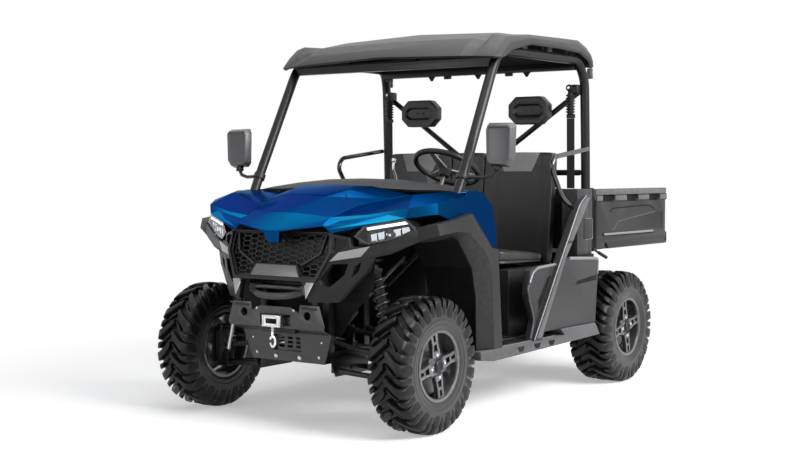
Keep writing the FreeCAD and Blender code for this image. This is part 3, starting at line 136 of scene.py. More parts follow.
def pale_floor():
    """White paper that fades into the background away from the vehicle, and still takes its shadow."""
    material = bpy.data.materials.new("pale_floor")
    material.use_nodes = True
    tree = material.node_tree
    paper = tree.nodes["Principled BSDF"]
    direct = seen_directly(tree)
    wire(tree, paper, Base_Color=blend(tree, direct, (0.38, 0.38, 0.39), (0.9, 0.9, 0.91)), Roughness=0.8,
         Specular_IOR_Level=0.1)
    glow = add(tree, "Emission", Strength=maths(tree, "MULTIPLY", direct, FLOOR_GLOW))
    white = add(tree, "Emission")
    lifted = add(tree, "AddShader", i0=paper.outputs[0], i1=glow.outputs[0])
    far = add(tree, "VectorMath", {"operation": "LENGTH"}, i0=spot(tree)).outputs["Value"]
    share = maths(tree, "MULTIPLY", ramp(tree, far, *PAPER_ENDS), direct)
    mix = add(tree, "MixShader", Fac=share, i1=lifted.outputs[0], i2=white.outputs[0])
    wire(tree, tree.nodes["Material Output"], Surface=mix.outputs[0])
    return material


# Shader groups

def wire(tree, node, **wires):
    """Sets a node's sockets, each by value or by another node's output; i0 is the first one."""
    for word, value in wires.items():
        key = word.replace("_", " ")
        socket = node.inputs[int(key[1:]) if key[:1] == "i" and key[1:].isdigit() else key]
        if isinstance(value, bpy.types.NodeSocket):
            tree.links.new(value, socket)
        else:
            socket.default_value = value


def add(tree, kind, settings=(), **wires):
    """A node with its properties and sockets set."""
    made = tree.nodes.new("ShaderNode" + kind)
    for word, value in dict(settings).items():
        setattr(made, word, value)
    wire(tree, made, **wires)
    return made


def maths(tree, operation, first, second=0.5, clamp=False):
    return add(tree, "Math", {"operation": operation, "use_clamp": clamp}, i0=first, i1=second).outputs[0]


def spot(tree):
    """The place on the object, in its own coordinates."""
    return add(tree, "TexCoord").outputs["Object"]


def ramp(tree, source, low, high):
    made = add(tree, "MapRange", {"interpolation_type": "SMOOTHSTEP"}, Value=source, From_Min=low, From_Max=high)
    return made.outputs["Result"]


def group(name, values, outputs):
    """A node group with named value sockets: its tree, its inputs' sockets and its output node."""
    tree = bpy.data.node_groups.new(name, "ShaderNodeTree")
    for word, value in values.items():
        tree.interface.new_socket(word, in_out="INPUT", socket_type="NodeSocketFloat").default_value = value
    for word in outputs:
        tree.interface.new_socket(word, in_out="OUTPUT", socket_type="NodeSocketFloat")
    return tree, tree.nodes.new("NodeGroupInput").outputs, tree.nodes.new("NodeGroupOutput")


def moulded_grain():
    """Fine pebbled texture of a plastic tool, as a height."""
    tree, given, out = group("moulded_grain", {"Size": 900.0}, ("Height", "Tone"))
    place = spot(tree)
    cells = add(tree, "TexVoronoi", {"feature": "SMOOTH_F1"}, Vector=place, Scale=given["Size"])
    cloud = add(tree, "TexNoise", Vector=place, Scale=6.0, Detail=4.0)
    wire(tree, out, Height=cells.outputs["Distance"], Tone=cloud.outputs["Fac"])
    return tree


def road_dust():
    """Pale dust that gathers low down and in broken patches."""
    tree, given, out = group("road_dust", {"Amount": 0.2, "Top": 0.9}, ("Mask",))
    place = spot(tree)
    height = add(tree, "SeparateXYZ", Vector=place).outputs["Z"]
    low = add(tree, "MapRange", Value=height, From_Min=given["Top"], From_Max=0.0).outputs["Result"]
    patches = add(tree, "TexNoise", Vector=place, Scale=9.0, Detail=6.0, Roughness=0.65)
    both = maths(tree, "MULTIPLY", low, ramp(tree, patches.outputs["Fac"], 0.35, 0.75))
    wire(tree, out, Mask=maths(tree, "MULTIPLY", both, given["Amount"], True))
    return tree


def edge_rub():
    """Where handling has polished or paled the raised edges."""
    tree, given, out = group("edge_rub", {"Amount": 0.5}, ("Mask",))
    edge = ramp(tree, add(tree, "NewGeometry").outputs["Pointiness"], 0.52, 0.6)
    broken = ramp(tree, add(tree, "TexNoise", Vector=spot(tree), Scale=30.0, Detail=5.0).outputs["Fac"], 0.3, 0.7)
    both = maths(tree, "MULTIPLY", edge, broken)
    wire(tree, out, Mask=maths(tree, "MULTIPLY", both, given["Amount"], True))
    return tree


def paint_flake():
    """Tiny metal flakes: each cell a shade lighter or darker."""
    tree, given, out = group("paint_flake", {"Size": 2600.0}, ("Shade",))
    cells = add(tree, "TexVoronoi", Vector=spot(tree), Scale=given["Size"])
    wire(tree, out, Shade=add(tree, "SeparateColor", Color=cells.outputs["Color"]).outputs["Red"])
    return tree


def belt_weave():
    """Ribs of woven webbing running along the strap and across it."""
    tree, given, out = group("belt_weave", {"Size": 300.0}, ("Height",))
    place = spot(tree)
    along, across = (add(tree, "TexWave", {"bands_direction": way}, Vector=place, Scale=given["Size"]).outputs["Fac"]
                     for way in "YZ")
    wire(tree, out, Height=maths(tree, "MULTIPLY", along, across))
    return tree


def vinyl_grain():
    """Leathery creases of a vinyl cover."""
    tree, given, out = group("vinyl_grain", {"Size": 220.0}, ("Height", "Tone"))
    place = spot(tree)
    bends = add(tree, "TexNoise", Vector=place, Scale=60.0, Detail=3.0)
    mixed = add(tree, "MixRGB", Fac=0.03, Color1=place, Color2=bends.outputs["Color"])
    cells = add(tree, "TexVoronoi", {"feature": "DISTANCE_TO_EDGE"}, Vector=mixed.outputs[0], Scale=given["Size"])
    cloud = add(tree, "TexNoise", Vector=place, Scale=14.0, Detail=5.0)
    wire(tree, out, Height=ramp(tree, cells.outputs["Distance"], 0.0, 0.25), Tone=cloud.outputs["Fac"])
    return tree


def brushed_metal():
    """Long scratches left by a brush, as a mask for roughness."""
    tree, given, out = group("brushed_metal", {"Size": 240.0}, ("Mask",))
    long_way = add(tree, "Mapping", Vector=spot(tree), Scale=(1.0, 0.06, 1.0))
    lines = add(tree, "TexNoise", Vector=long_way.outputs[0], Scale=given["Size"], Detail=4.0)
    wire(tree, out, Mask=lines.outputs["Fac"])
    return tree


GROUPS = {made.name: made for made in (moulded_grain(), road_dust(), edge_rub(), paint_flake(), belt_weave(),
                                       vinyl_grain(), brushed_metal())}


def use(tree, name, **values):
    return add(tree, "Group", {"node_tree": GROUPS[name]}, **values)


def blend(tree, mask, first, second):
    """Colour or value: first where the mask is 0 and second where it is 1."""
    ends = [(value,) * 3 if isinstance(value, (int, float)) else value for value in (first, second)]
    ends = [value + (1,) if isinstance(value, tuple) else value for value in ends]
    return add(tree, "MixRGB", Fac=mask, i1=ends[0], i2=ends[1]).outputs[0]


RELIEF_DEPTH = 0.0004
DUST_COLOR, DUST_ROUGHNESS = (0.30, 0.28, 0.25), 0.85


def finish(name, color, roughness, metallic=0.0, grain=0.0, grain_size=900.0, dust=0.0, rub=0.0, rub_color=None,
           coat=0.0, texture="moulded_grain", uneven=0.12, **plain):
    """A surface from its colour and roughness, its texture in relief, its dust and its rubbed edges."""
    material = materials[name] = bpy.data.materials.new(name)
    material.use_nodes = True
    tree = material.node_tree
    shader = tree.nodes["Principled BSDF"]
    wire(tree, shader, Metallic=metallic, Coat_Weight=coat, Coat_Roughness=0.06, **plain)
    relief = use(tree, texture, Size=grain_size)
    tone = relief.outputs.get("Tone")
    if tone:
        shade = blend(tree, tone, tuple(part * (1 - uneven) for part in color),
                      tuple(min(1, part * (1 + uneven)) for part in color))
        rough = None if dust else (max(0.02, roughness - 0.05), min(1, roughness + 0.06))
    else:
        shade = add(tree, "RGB").outputs[0]
        shade.default_value = color + (1,)
        rough = None
    if grain:
        bump = add(tree, "Bump", Strength=grain, Distance=RELIEF_DEPTH, Height=relief.outputs["Height"])
        wire(tree, shader, Normal=bump.outputs[0])
    if rub:
        mask = use(tree, "edge_rub", Amount=rub).outputs["Mask"]
        shade = blend(tree, mask, shade, rub_color or tuple(min(1, part * 2.2 + 0.02) for part in color))
    if dust:
        mask = use(tree, "road_dust", Amount=dust).outputs["Mask"]
        shade = blend(tree, mask, shade, DUST_COLOR)
        wire(tree, shader, Roughness=blend(tree, mask, roughness, DUST_ROUGHNESS))
    else:
        wire(tree, shader, Roughness=blend(tree, tone, *rough) if rough else roughness)
    wire(tree, shader, Base_Color=shade)
    return material


def body_paint(name, deep, bright, painted_flank_shade):
    """Metallic lacquer with painted light: deep on the upper faces, a painted highlight where a face leans forward, and
    painted shade on the flanks.
    """
    material = finish(name, deep, 0.34, metallic=1.0, coat=0.05, Coat_IOR=1.3, Specular_Tint=(0.02, 0.35, 0.75, 1))
    tree = material.node_tree
    split = add(tree, "SeparateXYZ", Vector=add(tree, "NewGeometry").outputs["Normal"]).outputs
    slope = ramp(tree, split["Z"], 0.95, 0.5)
    upright = ramp(tree, split["Z"], 0.02, 0.4)
    side = maths(tree, "ABSOLUTE", split["Y"])
    # Painted highlight: faces that lean forward, and not to the side, get the brighter blue as if lit.
    painted_highlight_mask = maths(tree, "MULTIPLY", slope, ramp(tree, side, 0.85, 0.3))
    painted_highlight_mask = maths(tree, "MULTIPLY", painted_highlight_mask, upright)
    flake = use(tree, "paint_flake", Size=2600.0).outputs["Shade"]
    shade = blend(tree, painted_highlight_mask, deep, bright)
    # Painted shade: faces turned to the side get the darker flank blue.
    shade = blend(tree, ramp(tree, side, 0.35, 0.85), shade, painted_flank_shade)
    sparkle = add(tree, "MixRGB", {"blend_type": "OVERLAY"}, Fac=0.12, Color1=shade, Color2=flake)
    wire(tree, tree.nodes["Principled BSDF"], Base_Color=sparkle.outputs[0])


def make_finishes():
    dull = {"Specular_IOR_Level": 0.3}
    # Blue body paint: deep blue, then a brighter blue as a painted highlight on forward faces and a darker blue as
    # painted shade on the flanks.
    body_paint("blue_lacquer", (0.001, 0.050, 0.165), (0.008, 0.240, 0.450), (0.001, 0.040, 0.115))
    finish("frame_coat", (0.008, 0.008, 0.009), 0.34, grain=0.15, grain_size=1400, dust=0.04, rub=0.3, **dull)
    finish("gloss_bar", (0.008, 0.008, 0.009), 0.12, coat=0.8, rub=0.15)
    finish("charcoal_mould", (0.034, 0.033, 0.035), 0.46, grain=0.3, rub=0.3, **dull)
    finish("flare_mould", (0.021, 0.0205, 0.0215), 0.46, grain=0.3, rub=0.3, Specular_IOR_Level=0.22)
    finish("bed_mould", (0.024, 0.0235, 0.0245), 0.46, grain=0.3, rub=0.3, **dull)
    # Light sill grey; the kick rims and the bed rail faces also use it as a painted highlight.
    finish("sill_mould", (0.11, 0.107, 0.112), 0.42, grain=0.3, dust=0.05, rub=0.3, **dull)
    finish("mirror_shell", (0.105, 0.102, 0.107), 0.34, grain=0.15, rub=0.2)
    finish("bumper_coat", (0.048, 0.047, 0.049), 0.36, grain=0.15, grain_size=1400, dust=0.05, rub=0.3)
    finish("tyre_wall", (0.027, 0.0265, 0.0275), 0.30, grain=0.25, grain_size=420, dust=0.06, rub=0.1)
    finish("cushion_vinyl", (0.05, 0.049, 0.05), 0.26, grain=0.4, texture="vinyl_grain", grain_size=260)
    finish("roof_mould", (0.040, 0.039, 0.041), 0.4, grain=0.25, rub=0.3, **dull)
    finish("black_mould", (0.012, 0.012, 0.013), 0.4, grain=0.25, dust=0.05, rub=0.3, **dull)
    finish("liner_mould", (0.006, 0.006, 0.0065), 0.6, grain=0.3, dust=0.1, Specular_IOR_Level=0.15)
    finish("dash_mould", (0.045, 0.046, 0.048), 0.62, grain=0.6, grain_size=500, **dull)
    finish("seat_vinyl", (0.013, 0.012, 0.013), 0.38, grain=0.4, texture="vinyl_grain", grain_size=260)
    finish("seat_insert", (0.33, 0.327, 0.335), 0.5, grain=0.4, texture="vinyl_grain", grain_size=260)
    finish("webbing", (0.014, 0.014, 0.015), 0.75, grain=0.7, texture="belt_weave", grain_size=240)
    finish("tyre_rubber", (0.0050, 0.0049, 0.0051), 0.4, grain=0.35, grain_size=420, dust=0.03, rub=0.2,
           Specular_IOR_Level=0.25, rub_color=(0.06, 0.058, 0.056))
    finish("rim_paint", (0.15, 0.151, 0.157), 0.28, metallic=0.85, coat=0.4, rub=0.9, rub_color=(0.35, 0.35, 0.37))
    finish("chrome", (0.78, 0.79, 0.8), 0.12, metallic=1.0, uneven=0.04)
    finish("bright_steel", (0.55, 0.55, 0.56), 0.3, metallic=1.0, texture="brushed_metal", grain_size=300)
    finish("dull_steel", (0.16, 0.155, 0.15), 0.45, metallic=0.9, dust=0.1, rub=0.3)
    finish("cast_iron", (0.05, 0.05, 0.052), 0.6, metallic=0.5, grain=0.9, grain_size=300, dust=0.1)
    finish("alloy", (0.33, 0.33, 0.34), 0.42, metallic=0.8, grain=0.5, grain_size=500, dust=0.05)
    finish("spring_paint", (0.02, 0.02, 0.022), 0.3, coat=0.4, rub=0.5)
    finish("rubber_boot", (0.010, 0.010, 0.010), 0.5, grain=0.3)
    finish("silver_paint", (0.34, 0.335, 0.345), 0.34, metallic=0.5, coat=0.5)
    finish("strut_grey", (0.12, 0.117, 0.123), 0.36, metallic=0.3, grain=0.15, rub=0.4)
    # Light trim grey; the panel rims also use it as a painted highlight on rolled edges.
    finish("panel_edge", (0.27, 0.265, 0.275), 0.34, metallic=0.2, grain=0.15)
    finish("plate_grey", (0.17, 0.167, 0.172), 0.36, metallic=0.3, grain=0.2)
    finish("satin_lever", (0.6, 0.6, 0.61), 0.24, metallic=1.0)
    finish("lamp_black", (0.01, 0.01, 0.011), 0.25, coat=0.5)
    finish("dark_glass", (0.006, 0.007, 0.008), 0.05, coat=1.0)
    finish("mirror_glass", (0.75, 0.78, 0.8), 0.03, metallic=1.0, uneven=0.02)
    finish("lamp_glow", (0.9, 0.92, 0.95), 0.2, Emission_Color=(0.95, 0.97, 1, 1), Emission_Strength=0.75)
    finish("red_lens", (0.35, 0.005, 0.008), 0.14, coat=1.0)
    finish("clear_lens", (0.95, 0.97, 1.0), 0.04, coat=0.2, uneven=0.01, Transmission_Weight=1.0, IOR=1.2)


# Mesh helpers

def place_piece(name, bm, finishes, body, sharp=35):
    """The finished mesh as an object at the origin, riding on its body."""
    mesh = bpy.data.meshes.new(name)
    bm.to_mesh(mesh)
    bm.free()
    for word in [finishes] if isinstance(finishes, str) else finishes:
        mesh.materials.append(materials[word])
    for face in mesh.polygons:
        face.use_smooth = True
    mesh.set_sharp_from_angle(angle=math.radians(sharp))
    piece = linked(name, mesh)
    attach(piece, body)
    return piece


def outward(bm):
    bmesh.ops.remove_doubles(bm, verts=bm.verts, dist=1e-6)
    bmesh.ops.recalc_face_normals(bm, faces=bm.faces)
    return bm


def build(name, paint, shapes, body="root", sharp=35, mirror=False):
    """One piece from rows of a shape and its values, with its reflection where both sides have it."""
    bm = bmesh.new()
    for shape, *values in shapes:
        shape(bm, *values)
    if mirror:
        both_sides(bm)
    return place_piece(name, outward(bm), paint, body, sharp)


def points_in(made):
    return [item for item in made if isinstance(item, bmesh.types.BMVert)]


def bevel(bm, edges, width, segments=2):
    bmesh.ops.bevel(bm, geom=edges, offset=width, offset_type="OFFSET", segments=segments, profile=0.5,
                    affect="EDGES", clamp_overlap=True, material=-1)


def rounded(bm, width, angle=28, segments=2):
    """Bevels every edge that turns by more than the angle."""
    limit = math.radians(angle)
    bevel(bm, [edge for edge in bm.edges if edge.is_manifold and edge.calc_face_angle(0) > limit], width, segments)
    return bm


def edges_of(verts):
    """The edges at some vertices, each once and always in the same order."""
    return list(dict.fromkeys(edge for vert in verts for edge in vert.link_edges))


def from_solid(node):
    """A merged copy of a CAD node's mesh, its flat faces whole again."""
    bm = bmesh.new()
    bm.from_mesh(nodes[node].data)
    bmesh.ops.remove_doubles(bm, verts=bm.verts, dist=2e-5)
    bmesh.ops.dissolve_limit(bm, angle_limit=math.radians(0.4), verts=bm.verts, edges=bm.edges,
                             use_dissolve_boundaries=False)
    for face in bm.faces:
        face.material_index = 0
    return bm


def softened(node, width, paint, body, slot, angle=28, sharp=35):
    """The CAD node with its sharp edges rounded off, standing for the node."""
    piece = place_piece(node + "_finished", rounded(from_solid(node), width, angle), paint, body, sharp)
    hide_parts(node)


def both_sides(bm):
    """Adds the reflection across the vehicle's middle."""
    copy = bmesh.ops.duplicate(bm, geom=bm.verts[:] + bm.edges[:] + bm.faces[:])["geom"]
    bmesh.ops.scale(bm, vec=(1, -1, 1), verts=points_in(copy))
    bmesh.ops.reverse_faces(bm, faces=[item for item in copy if isinstance(item, bmesh.types.BMFace)])


def block(bm, low, high, width=0.0):
    """A box between two corners with rounded edges."""
    low, high = Vector(low), Vector(high)
    made = bmesh.ops.create_cube(bm, size=1)["verts"]
    bmesh.ops.scale(bm, vec=high - low, verts=made)
    bmesh.ops.translate(bm, vec=(low + high) / 2, verts=made)
    if width:
        bevel(bm, edges_of(made), width)


def turned(bm, profile, start, along, steps=24):
    """A closed or open outline of (distance, radius) spun about the line from start."""
    start, along = Vector(start), Vector(along).normalized()
    side = along.orthogonal().normalized()
    verts = [bm.verts.new(start + along * far + side * radius) for far, radius in profile]
    edges = [bm.edges.new(ends) for ends in zip(verts, verts[1:])]
    bmesh.ops.spin(bm, geom=verts + edges, axis=along, cent=start, angle=math.tau, steps=steps, use_merge=True,
                   use_duplicate=False)
    bmesh.ops.remove_doubles(bm, verts=bm.verts, dist=1e-6)


def drum(bm, middle, along, half, radius, steps=24):
    """A plain cylinder about its middle."""
    turned(bm, [(-half, 0), (-half, radius), (half, radius), (half, 0)], middle, along, steps)


def bolt(bm, head, along, size=0.008, washer=True):
    """A hexagon flange bolt's head standing on a face."""
    if washer:
        turned(bm, [(0, 0), (0, size * 1.25), (size * 0.2, size * 1.2), (size * 0.3, 0)], head, along, 16)
    turned(bm, [(0, 0), (0, size * 0.9), (size * 0.62, size * 0.9), (size * 0.75, size * 0.75), (size * 0.75, 0)],
           head, along, 6)


def pushed(bm, outline, push):
    """A flat outline and its copy a push away, with the skin between them; the second one's vertices come last."""
    verts = [bm.verts.new(point) for point in outline]
    made = bmesh.ops.extrude_face_region(bm, geom=[bm.faces.new(verts)])["geom"]
    moved = points_in(made)
    bmesh.ops.translate(bm, vec=push, verts=moved)
    return verts, moved


def plate(bm, outline, push, width=0.0):
    """A flat outline pushed into a slab, its edges rounded."""
    verts, moved = pushed(bm, outline, push)
    if width:
        bevel(bm, edges_of(verts + moved), width)


def swept(bm, rings, closed=False):
    """A skin through rings of as many points each, with its ends filled."""
    loops = []
    for ring in rings:
        verts = [bm.verts.new(point) for point in ring]
        loops.append([bm.edges.new((verts[number - 1], verts[number])) for number in range(len(verts))])
    for first, second in zip(loops, loops[1:] + (loops[:1] if closed else [])):
        bmesh.ops.bridge_loops(bm, edges=first + second)
    if not closed:
        for end in (loops[0], loops[-1]):
            bmesh.ops.edgeloop_fill(bm, edges=end)


def circle(middle, across, other, radius, count):
    """Points round a middle, from one direction towards another."""
    turns = (math.tau * number / count for number in range(count))
    return [middle + (across * math.cos(turn) + other * math.sin(turn)) * radius for turn in turns]


def pipe(bm, points, radius, sides=12, closed=False):
    """A round bar along points; its ring is carried on from each to the next."""
    count = len(points)
    rings = []
    across = None
    for number, point in enumerate(points):
        before = points[number - 1] if closed or number else point
        after = points[(number + 1) % count] if closed or number < count - 1 else point
        along = (after - before).normalized()
        across = along.orthogonal() if across is None else across - along * across.dot(along)
        across.normalize()
        rings.append(circle(point, across, along.cross(across), radius, sides))
    swept(bm, rings, closed)


def bent(points, steps=5, share=0.3):
    """Points with each corner rounded."""
    route = [points[0]]
    for before, corner, after in zip(points, points[1:], points[2:]):
        reach = share * min((before - corner).length, (after - corner).length)
        one = corner + (before - corner).normalized() * reach
        two = corner + (after - corner).normalized() * reach
        for number in range(steps + 1):
            part = number / steps
            route.append(one * (1 - part) ** 2 + corner * 2 * part * (1 - part) + two * part ** 2)
    return route + [points[-1]]


def side_view(y, *points):
    """Points in millimetres on a plane along the vehicle, from their x and z."""
    return [mm(x, y, z) for x, z in points]


def cross_view(x, *points):
    """Points in millimetres on a plane across the vehicle, from their y and z."""
    return [mm(x, y, z) for y, z in points]


def blocks(name, paint, corners, width=1.5, body="root", mirror=True):
    """Rounded blocks in millimetres, and their reflections, as one piece."""
    build(name, paint, [(block, mm(*low), mm(*high), width / 1000) for low, high in corners], body,
          mirror=mirror)


# Wheels

LONG_BAR = [
    (0.02, 0.3150, 0.286, 0.00, 0.12), (0.16, 0.3152, 0.286, 0.13, 0.155), (0.40, 0.3150, 0.284, 0.33, 0.17),
    (0.62, 0.3142, 0.280, 0.49, 0.185), (0.79, 0.3118, 0.272, 0.585, 0.205), (0.915, 0.3035, 0.262, 0.635, 0.225),
    (0.985, 0.2890, 0.246, 0.66, 0.23), (1.0, 0.2640, 0.226, 0.675, 0.19), (0.995, 0.2430, 0.222, 0.685, 0.13),
]
SHOULDER_BLOCK = [
    (0.56, 0.3105, 0.280, 0.96, 0.06), (0.66, 0.3125, 0.278, 1.02, 0.10), (0.80, 0.3095, 0.270, 1.085, 0.125),
    (0.91, 0.3015, 0.260, 1.13, 0.135), (0.98, 0.2860, 0.246, 1.155, 0.13), (0.99, 0.2660, 0.228, 1.17, 0.10),
]
CENTRE_RIB = [
    (0.06, 0.3040, 0.286, 0.50, 0.05), (0.30, 0.3060, 0.286, 0.70, 0.07), (0.50, 0.3040, 0.284, 0.86, 0.05),
]
TREAD_ROWS = 17
TYRE_OUTSIDE = [
    (0.86, 0.158), (0.90, 0.164), (0.93, 0.176), (0.975, 0.192), (0.965, 0.1945), (0.985, 0.2), (0.99, 0.214),
    (0.98, 0.2165), (0.995, 0.222), (0.985, 0.243), (0.955, 0.260), (0.90, 0.273), (0.80, 0.282), (0.6, 0.2875),
    (0.3, 0.2892), (0.0, 0.29),
]
TYRE_INSIDE = [(0.0, 0.276), (0.6, 0.272), (0.84, 0.256), (0.86, 0.225), (0.8, 0.18), (0.74, 0.158)]
WALL_TOP, WALL_SHARE = 0.262, 0.85


def tread_bars(bm, stations, half, hand):
    """One bar of the tread through its stations, then a copy in every row round the tyre."""
    pitch = math.tau / TREAD_ROWS
    start = pitch / 2 if hand > 0 else 0
    bar = bmesh.new()
    rings = []
    for across, top, foot, lead, thick in stations:
        ring = []
        for radius, edge, spread in ((foot, -1, 1.25), (foot, 1, 1.25), (top, 1, 0.9), (top, -1, 0.9)):
            turn = start + pitch * (lead + edge * thick * spread)
            ring.append(Vector((radius * math.sin(turn), hand * half * across, radius * math.cos(turn))))
        rings.append(ring)
    swept(bar, rings)
    bmesh.ops.recalc_face_normals(bar, faces=bar.faces)
    rounded(bar, 0.0028, 35, 1)
    bmesh.ops.spin(bar, geom=bar.verts[:] + bar.edges[:] + bar.faces[:], axis=LEFT, cent=(0, 0, 0),
                   angle=math.tau * (1 - 1 / TREAD_ROWS), steps=TREAD_ROWS - 1, use_duplicate=True)
    mesh = bpy.data.meshes.new("bars")
    bar.to_mesh(mesh)
    bar.free()
    bm.from_mesh(mesh)
    bpy.data.meshes.remove(mesh)


def tyre(name, half, centre, body, node):
    """A mud tyre: round carcass with ringed walls, swept bars in two rows, and shoulder blocks between them."""
    bm = bmesh.new()
    outer, hollow = ([(share * half, radius) for share, radius in line] for line in (TYRE_OUTSIDE, TYRE_INSIDE))
    profile = outer + [(-y, r) for y, r in outer[-2::-1]]
    profile += [(-y, r) for y, r in hollow[::-1]] + hollow[1:] + outer[:1]
    turned(bm, profile, (0, 0, 0), LEFT, 96)
    outward(bm)
    for face in bm.faces:
        middle = face.calc_center_median()
        face.material_index = int(math.hypot(middle.x, middle.z) < WALL_TOP and abs(middle.y) > half * WALL_SHARE)
    for stations in (LONG_BAR, SHOULDER_BLOCK, CENTRE_RIB):
        for hand in (-1, 1):
            tread_bars(bm, stations, half, hand)
    bmesh.ops.translate(bm, vec=centre, verts=bm.verts)
    piece = place_piece(name, bm, ["tyre_rubber", "tyre_wall"], body, 40)
    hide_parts(node)


NUT_CIRCLE = 0.052
BOSS_SHARE, BOSS_STEP = 0.86, 0.0065


def wheel_details(side, word, centre, face, sign, body):
    """Chrome nuts in the spokes' roots, the dark cap and the valve, and the brake disc behind them."""
    out = Vector((0, sign, 0))
    nuts = []
    for number in range(4):
        turn = math.radians(12 + 90 * number)
        middle = centre + Vector((math.sin(turn) * NUT_CIRCLE * sign, 0, math.cos(turn) * NUT_CIRCLE))
        nuts.append((turned, [(0, 0), (0, 0.0125), (0.012, 0.0115), (0.02, 0.008), (0.022, 0)],
                     middle + out * (face - 0.024), out, 6))
    build("%s_nuts_%s" % (word, side), "chrome", nuts, body)
    cap = [(0, 0), (0, 0.03), (0.008, 0.029), (0.012, 0.024), (0.012, 0.016), (0.009, 0.014), (0.009, 0)]
    valve = [(0, 0), (0, 0.004), (0.016, 0.004), (0.018, 0.002), (0.018, 0)]
    build("%s_cap_%s" % (word, side), "black_mould", [
        (turned, cap, centre + out * (face - 0.009), out, 32),
        (turned, valve, centre + Vector((0.118 * sign, 0, 0.052)) + out * (face - 0.026), out, 8),
    ], body)
    disc = [(-0.002, 0.062), (-0.002, 0.138), (0.003, 0.138), (0.003, 0.062), (0.012, 0.055), (0.03, 0.05),
            (0.03, 0.02), (-0.002, 0.02), (-0.002, 0.062)]
    build("%s_brake_disc_%s" % (word, side), "dull_steel",
          [(turned, disc, centre + out * 0.022, out, 48)], body, 30)


def make_wheels():
    for word, x, y, half in (("front", FRONT_AXLE, 0.650, 0.100), ("rear", REAR_AXLE, 0.638, 0.120)):
        for side, sign in SIDES:
            body = "wheel_%s_%s" % (word, side)
            centre = Vector((x, sign * y, AXLE_HEIGHT))
            tyre("%s_tyre_%s" % (word, side), half, centre, body, "tyre_%s_%s" % (word, side))
            softened("rim_%s_%s" % (word, side), 0.0018, "rim_paint", body, "rim_gunmetal", 30)
            wheel_details(side, word, centre, half * BOSS_SHARE + BOSS_STEP, sign, body)


# Springs

COIL_TURNS, COIL_STEPS = 7, 16
COIL_FOOT, COIL_SPAN = 0.395, 0.515
COIL_RADIUS, WIRE_RADIUS = 0.0335, 0.0055
DAMPER_BODY = [(0.36, 0.012), (0.36, 0.036), (0.37, 0.037), (0.385, 0.037), (0.39, 0.026), (0.9, 0.026), (0.92, 0.037),
               (0.945, 0.037), (0.95, 0.018), (0.985, 0.018), (0.985, 0)]


def coil_over(rods, coils, bodies, foot, head):
    """A bright rod, a black body with its collars, and the coil round them."""
    along = head - foot
    length = along.length
    axis = along.normalized()
    side = axis.orthogonal().normalized()
    turned(rods, [(0.012, 0), (0.012, 0.0105), (length * 0.5, 0.0105), (length * 0.5, 0)], foot, axis, 20)
    turned(bodies, [(length * far, radius) for far, radius in DAMPER_BODY], foot, axis)
    for middle in (foot + axis * 0.004, head - axis * 0.012):
        drum(bodies, middle, FORWARD, 0.018, 0.014, 20)
    points = []
    for number in range(COIL_TURNS * COIL_STEPS + 1):
        turn = math.tau * number / COIL_STEPS
        far = length * (COIL_FOOT + COIL_SPAN * number / (COIL_TURNS * COIL_STEPS))
        points.append(foot + axis * far + (side * math.cos(turn) + axis.cross(side) * math.sin(turn)) * COIL_RADIUS)
    pipe(coils, points, WIRE_RADIUS, 8)


def make_springs():
    parts = [bmesh.new() for _ in range(3)]
    for foot, head in ((mm(1152, 520, 287), mm(1152, 396, 766)), (mm(-752, 470, 285), mm(-752, 345, 668))):
        for sign in (1, -1):
            flip = Vector((1, sign, 1))
            coil_over(*parts, foot * flip, head * flip)
    names = (("damper_rods", "bright_steel"), ("suspension_coils", "spring_paint"), ("damper_bodies", "black_mould"))
    for bm, (name, paint) in zip(parts, names):
        piece = place_piece(name, outward(bm), paint, "root", 50)
        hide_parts("shocks")


# Seats

def pad(name, low, high, crown, paint, node, wave, soften, tilt, insert=None):
    """A stuffed block: rounded by smoothing, crowned, and pressed in along its sewn lines."""
    middle, reach = (low + high) / 2, (high - low) / 2
    bm = bmesh.new()
    bmesh.ops.create_cube(bm, size=2)
    bmesh.ops.subdivide_edges(bm, edges=bm.edges, cuts=30, use_grid_fill=True)
    bmesh.ops.scale(bm, vec=reach, verts=bm.verts)
    for _ in range(soften):
        bmesh.ops.smooth_vert(bm, verts=bm.verts, factor=0.5, use_axis_x=True, use_axis_y=True, use_axis_z=True)
    spread = [max(abs(vert.co[axis]) for vert in bm.verts) for axis in range(3)]
    for vert in bm.verts:
        for axis in range(3):
            vert.co[axis] *= (reach[axis] - crown[axis]) / spread[axis]
        u, v, w = (vert.co[axis] / reach[axis] for axis in range(3))
        lift = ((1 - v * v) * (1 - w * w) * u, (1 - u * u) * (1 - w * w) * v, (1 - u * u) * (1 - v * v) * w)
        vert.co = tilt(vert.co + Vector(lift) * crown + wave(u, v, w) + middle)
    if insert:
        insert(bm, middle.y)
    piece = place_piece(name, bm, [paint, "seat_insert"], "root", 180)
    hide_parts(node)


def sewn(share, line, wide):
    """How deep a sewn line pulls, from 1 on the line to 0 beside it."""
    return math.exp(-((share - line) / wide) ** 2)


def welt(u, v, w):
    """A sewn line round the cushion's sides, below their middle."""
    depth = 0.006 * sewn(w, -0.28, 0.09)
    return Vector((-depth * u, -depth * v, 0))


def seams(u, v, w):
    """A seam down each side of the back and one over its top."""
    return Vector((-0.005 * (sewn(abs(v), 0.62, 0.065) + sewn(w, 0.78, 0.05)) * max(0, u), 0, 0))


def lean(co):
    """The back's rake, from its foot on the seat box to its top."""
    return co - Vector((0.062 * (co.z - 0.690) / 0.615, 0, 0))


def fall(co):
    """The cushion drops towards its back."""
    rise = max(0, (co.z - 0.700) / 0.1)
    return co + Vector((0.012 * rise if co.x > 0.1 else 0, 0, 0.085 * (co.x - 0.17) * rise))


COVER_FOOT, COVER_HALF, COVER_SLOPE = 1.197, 0.088, 0.42


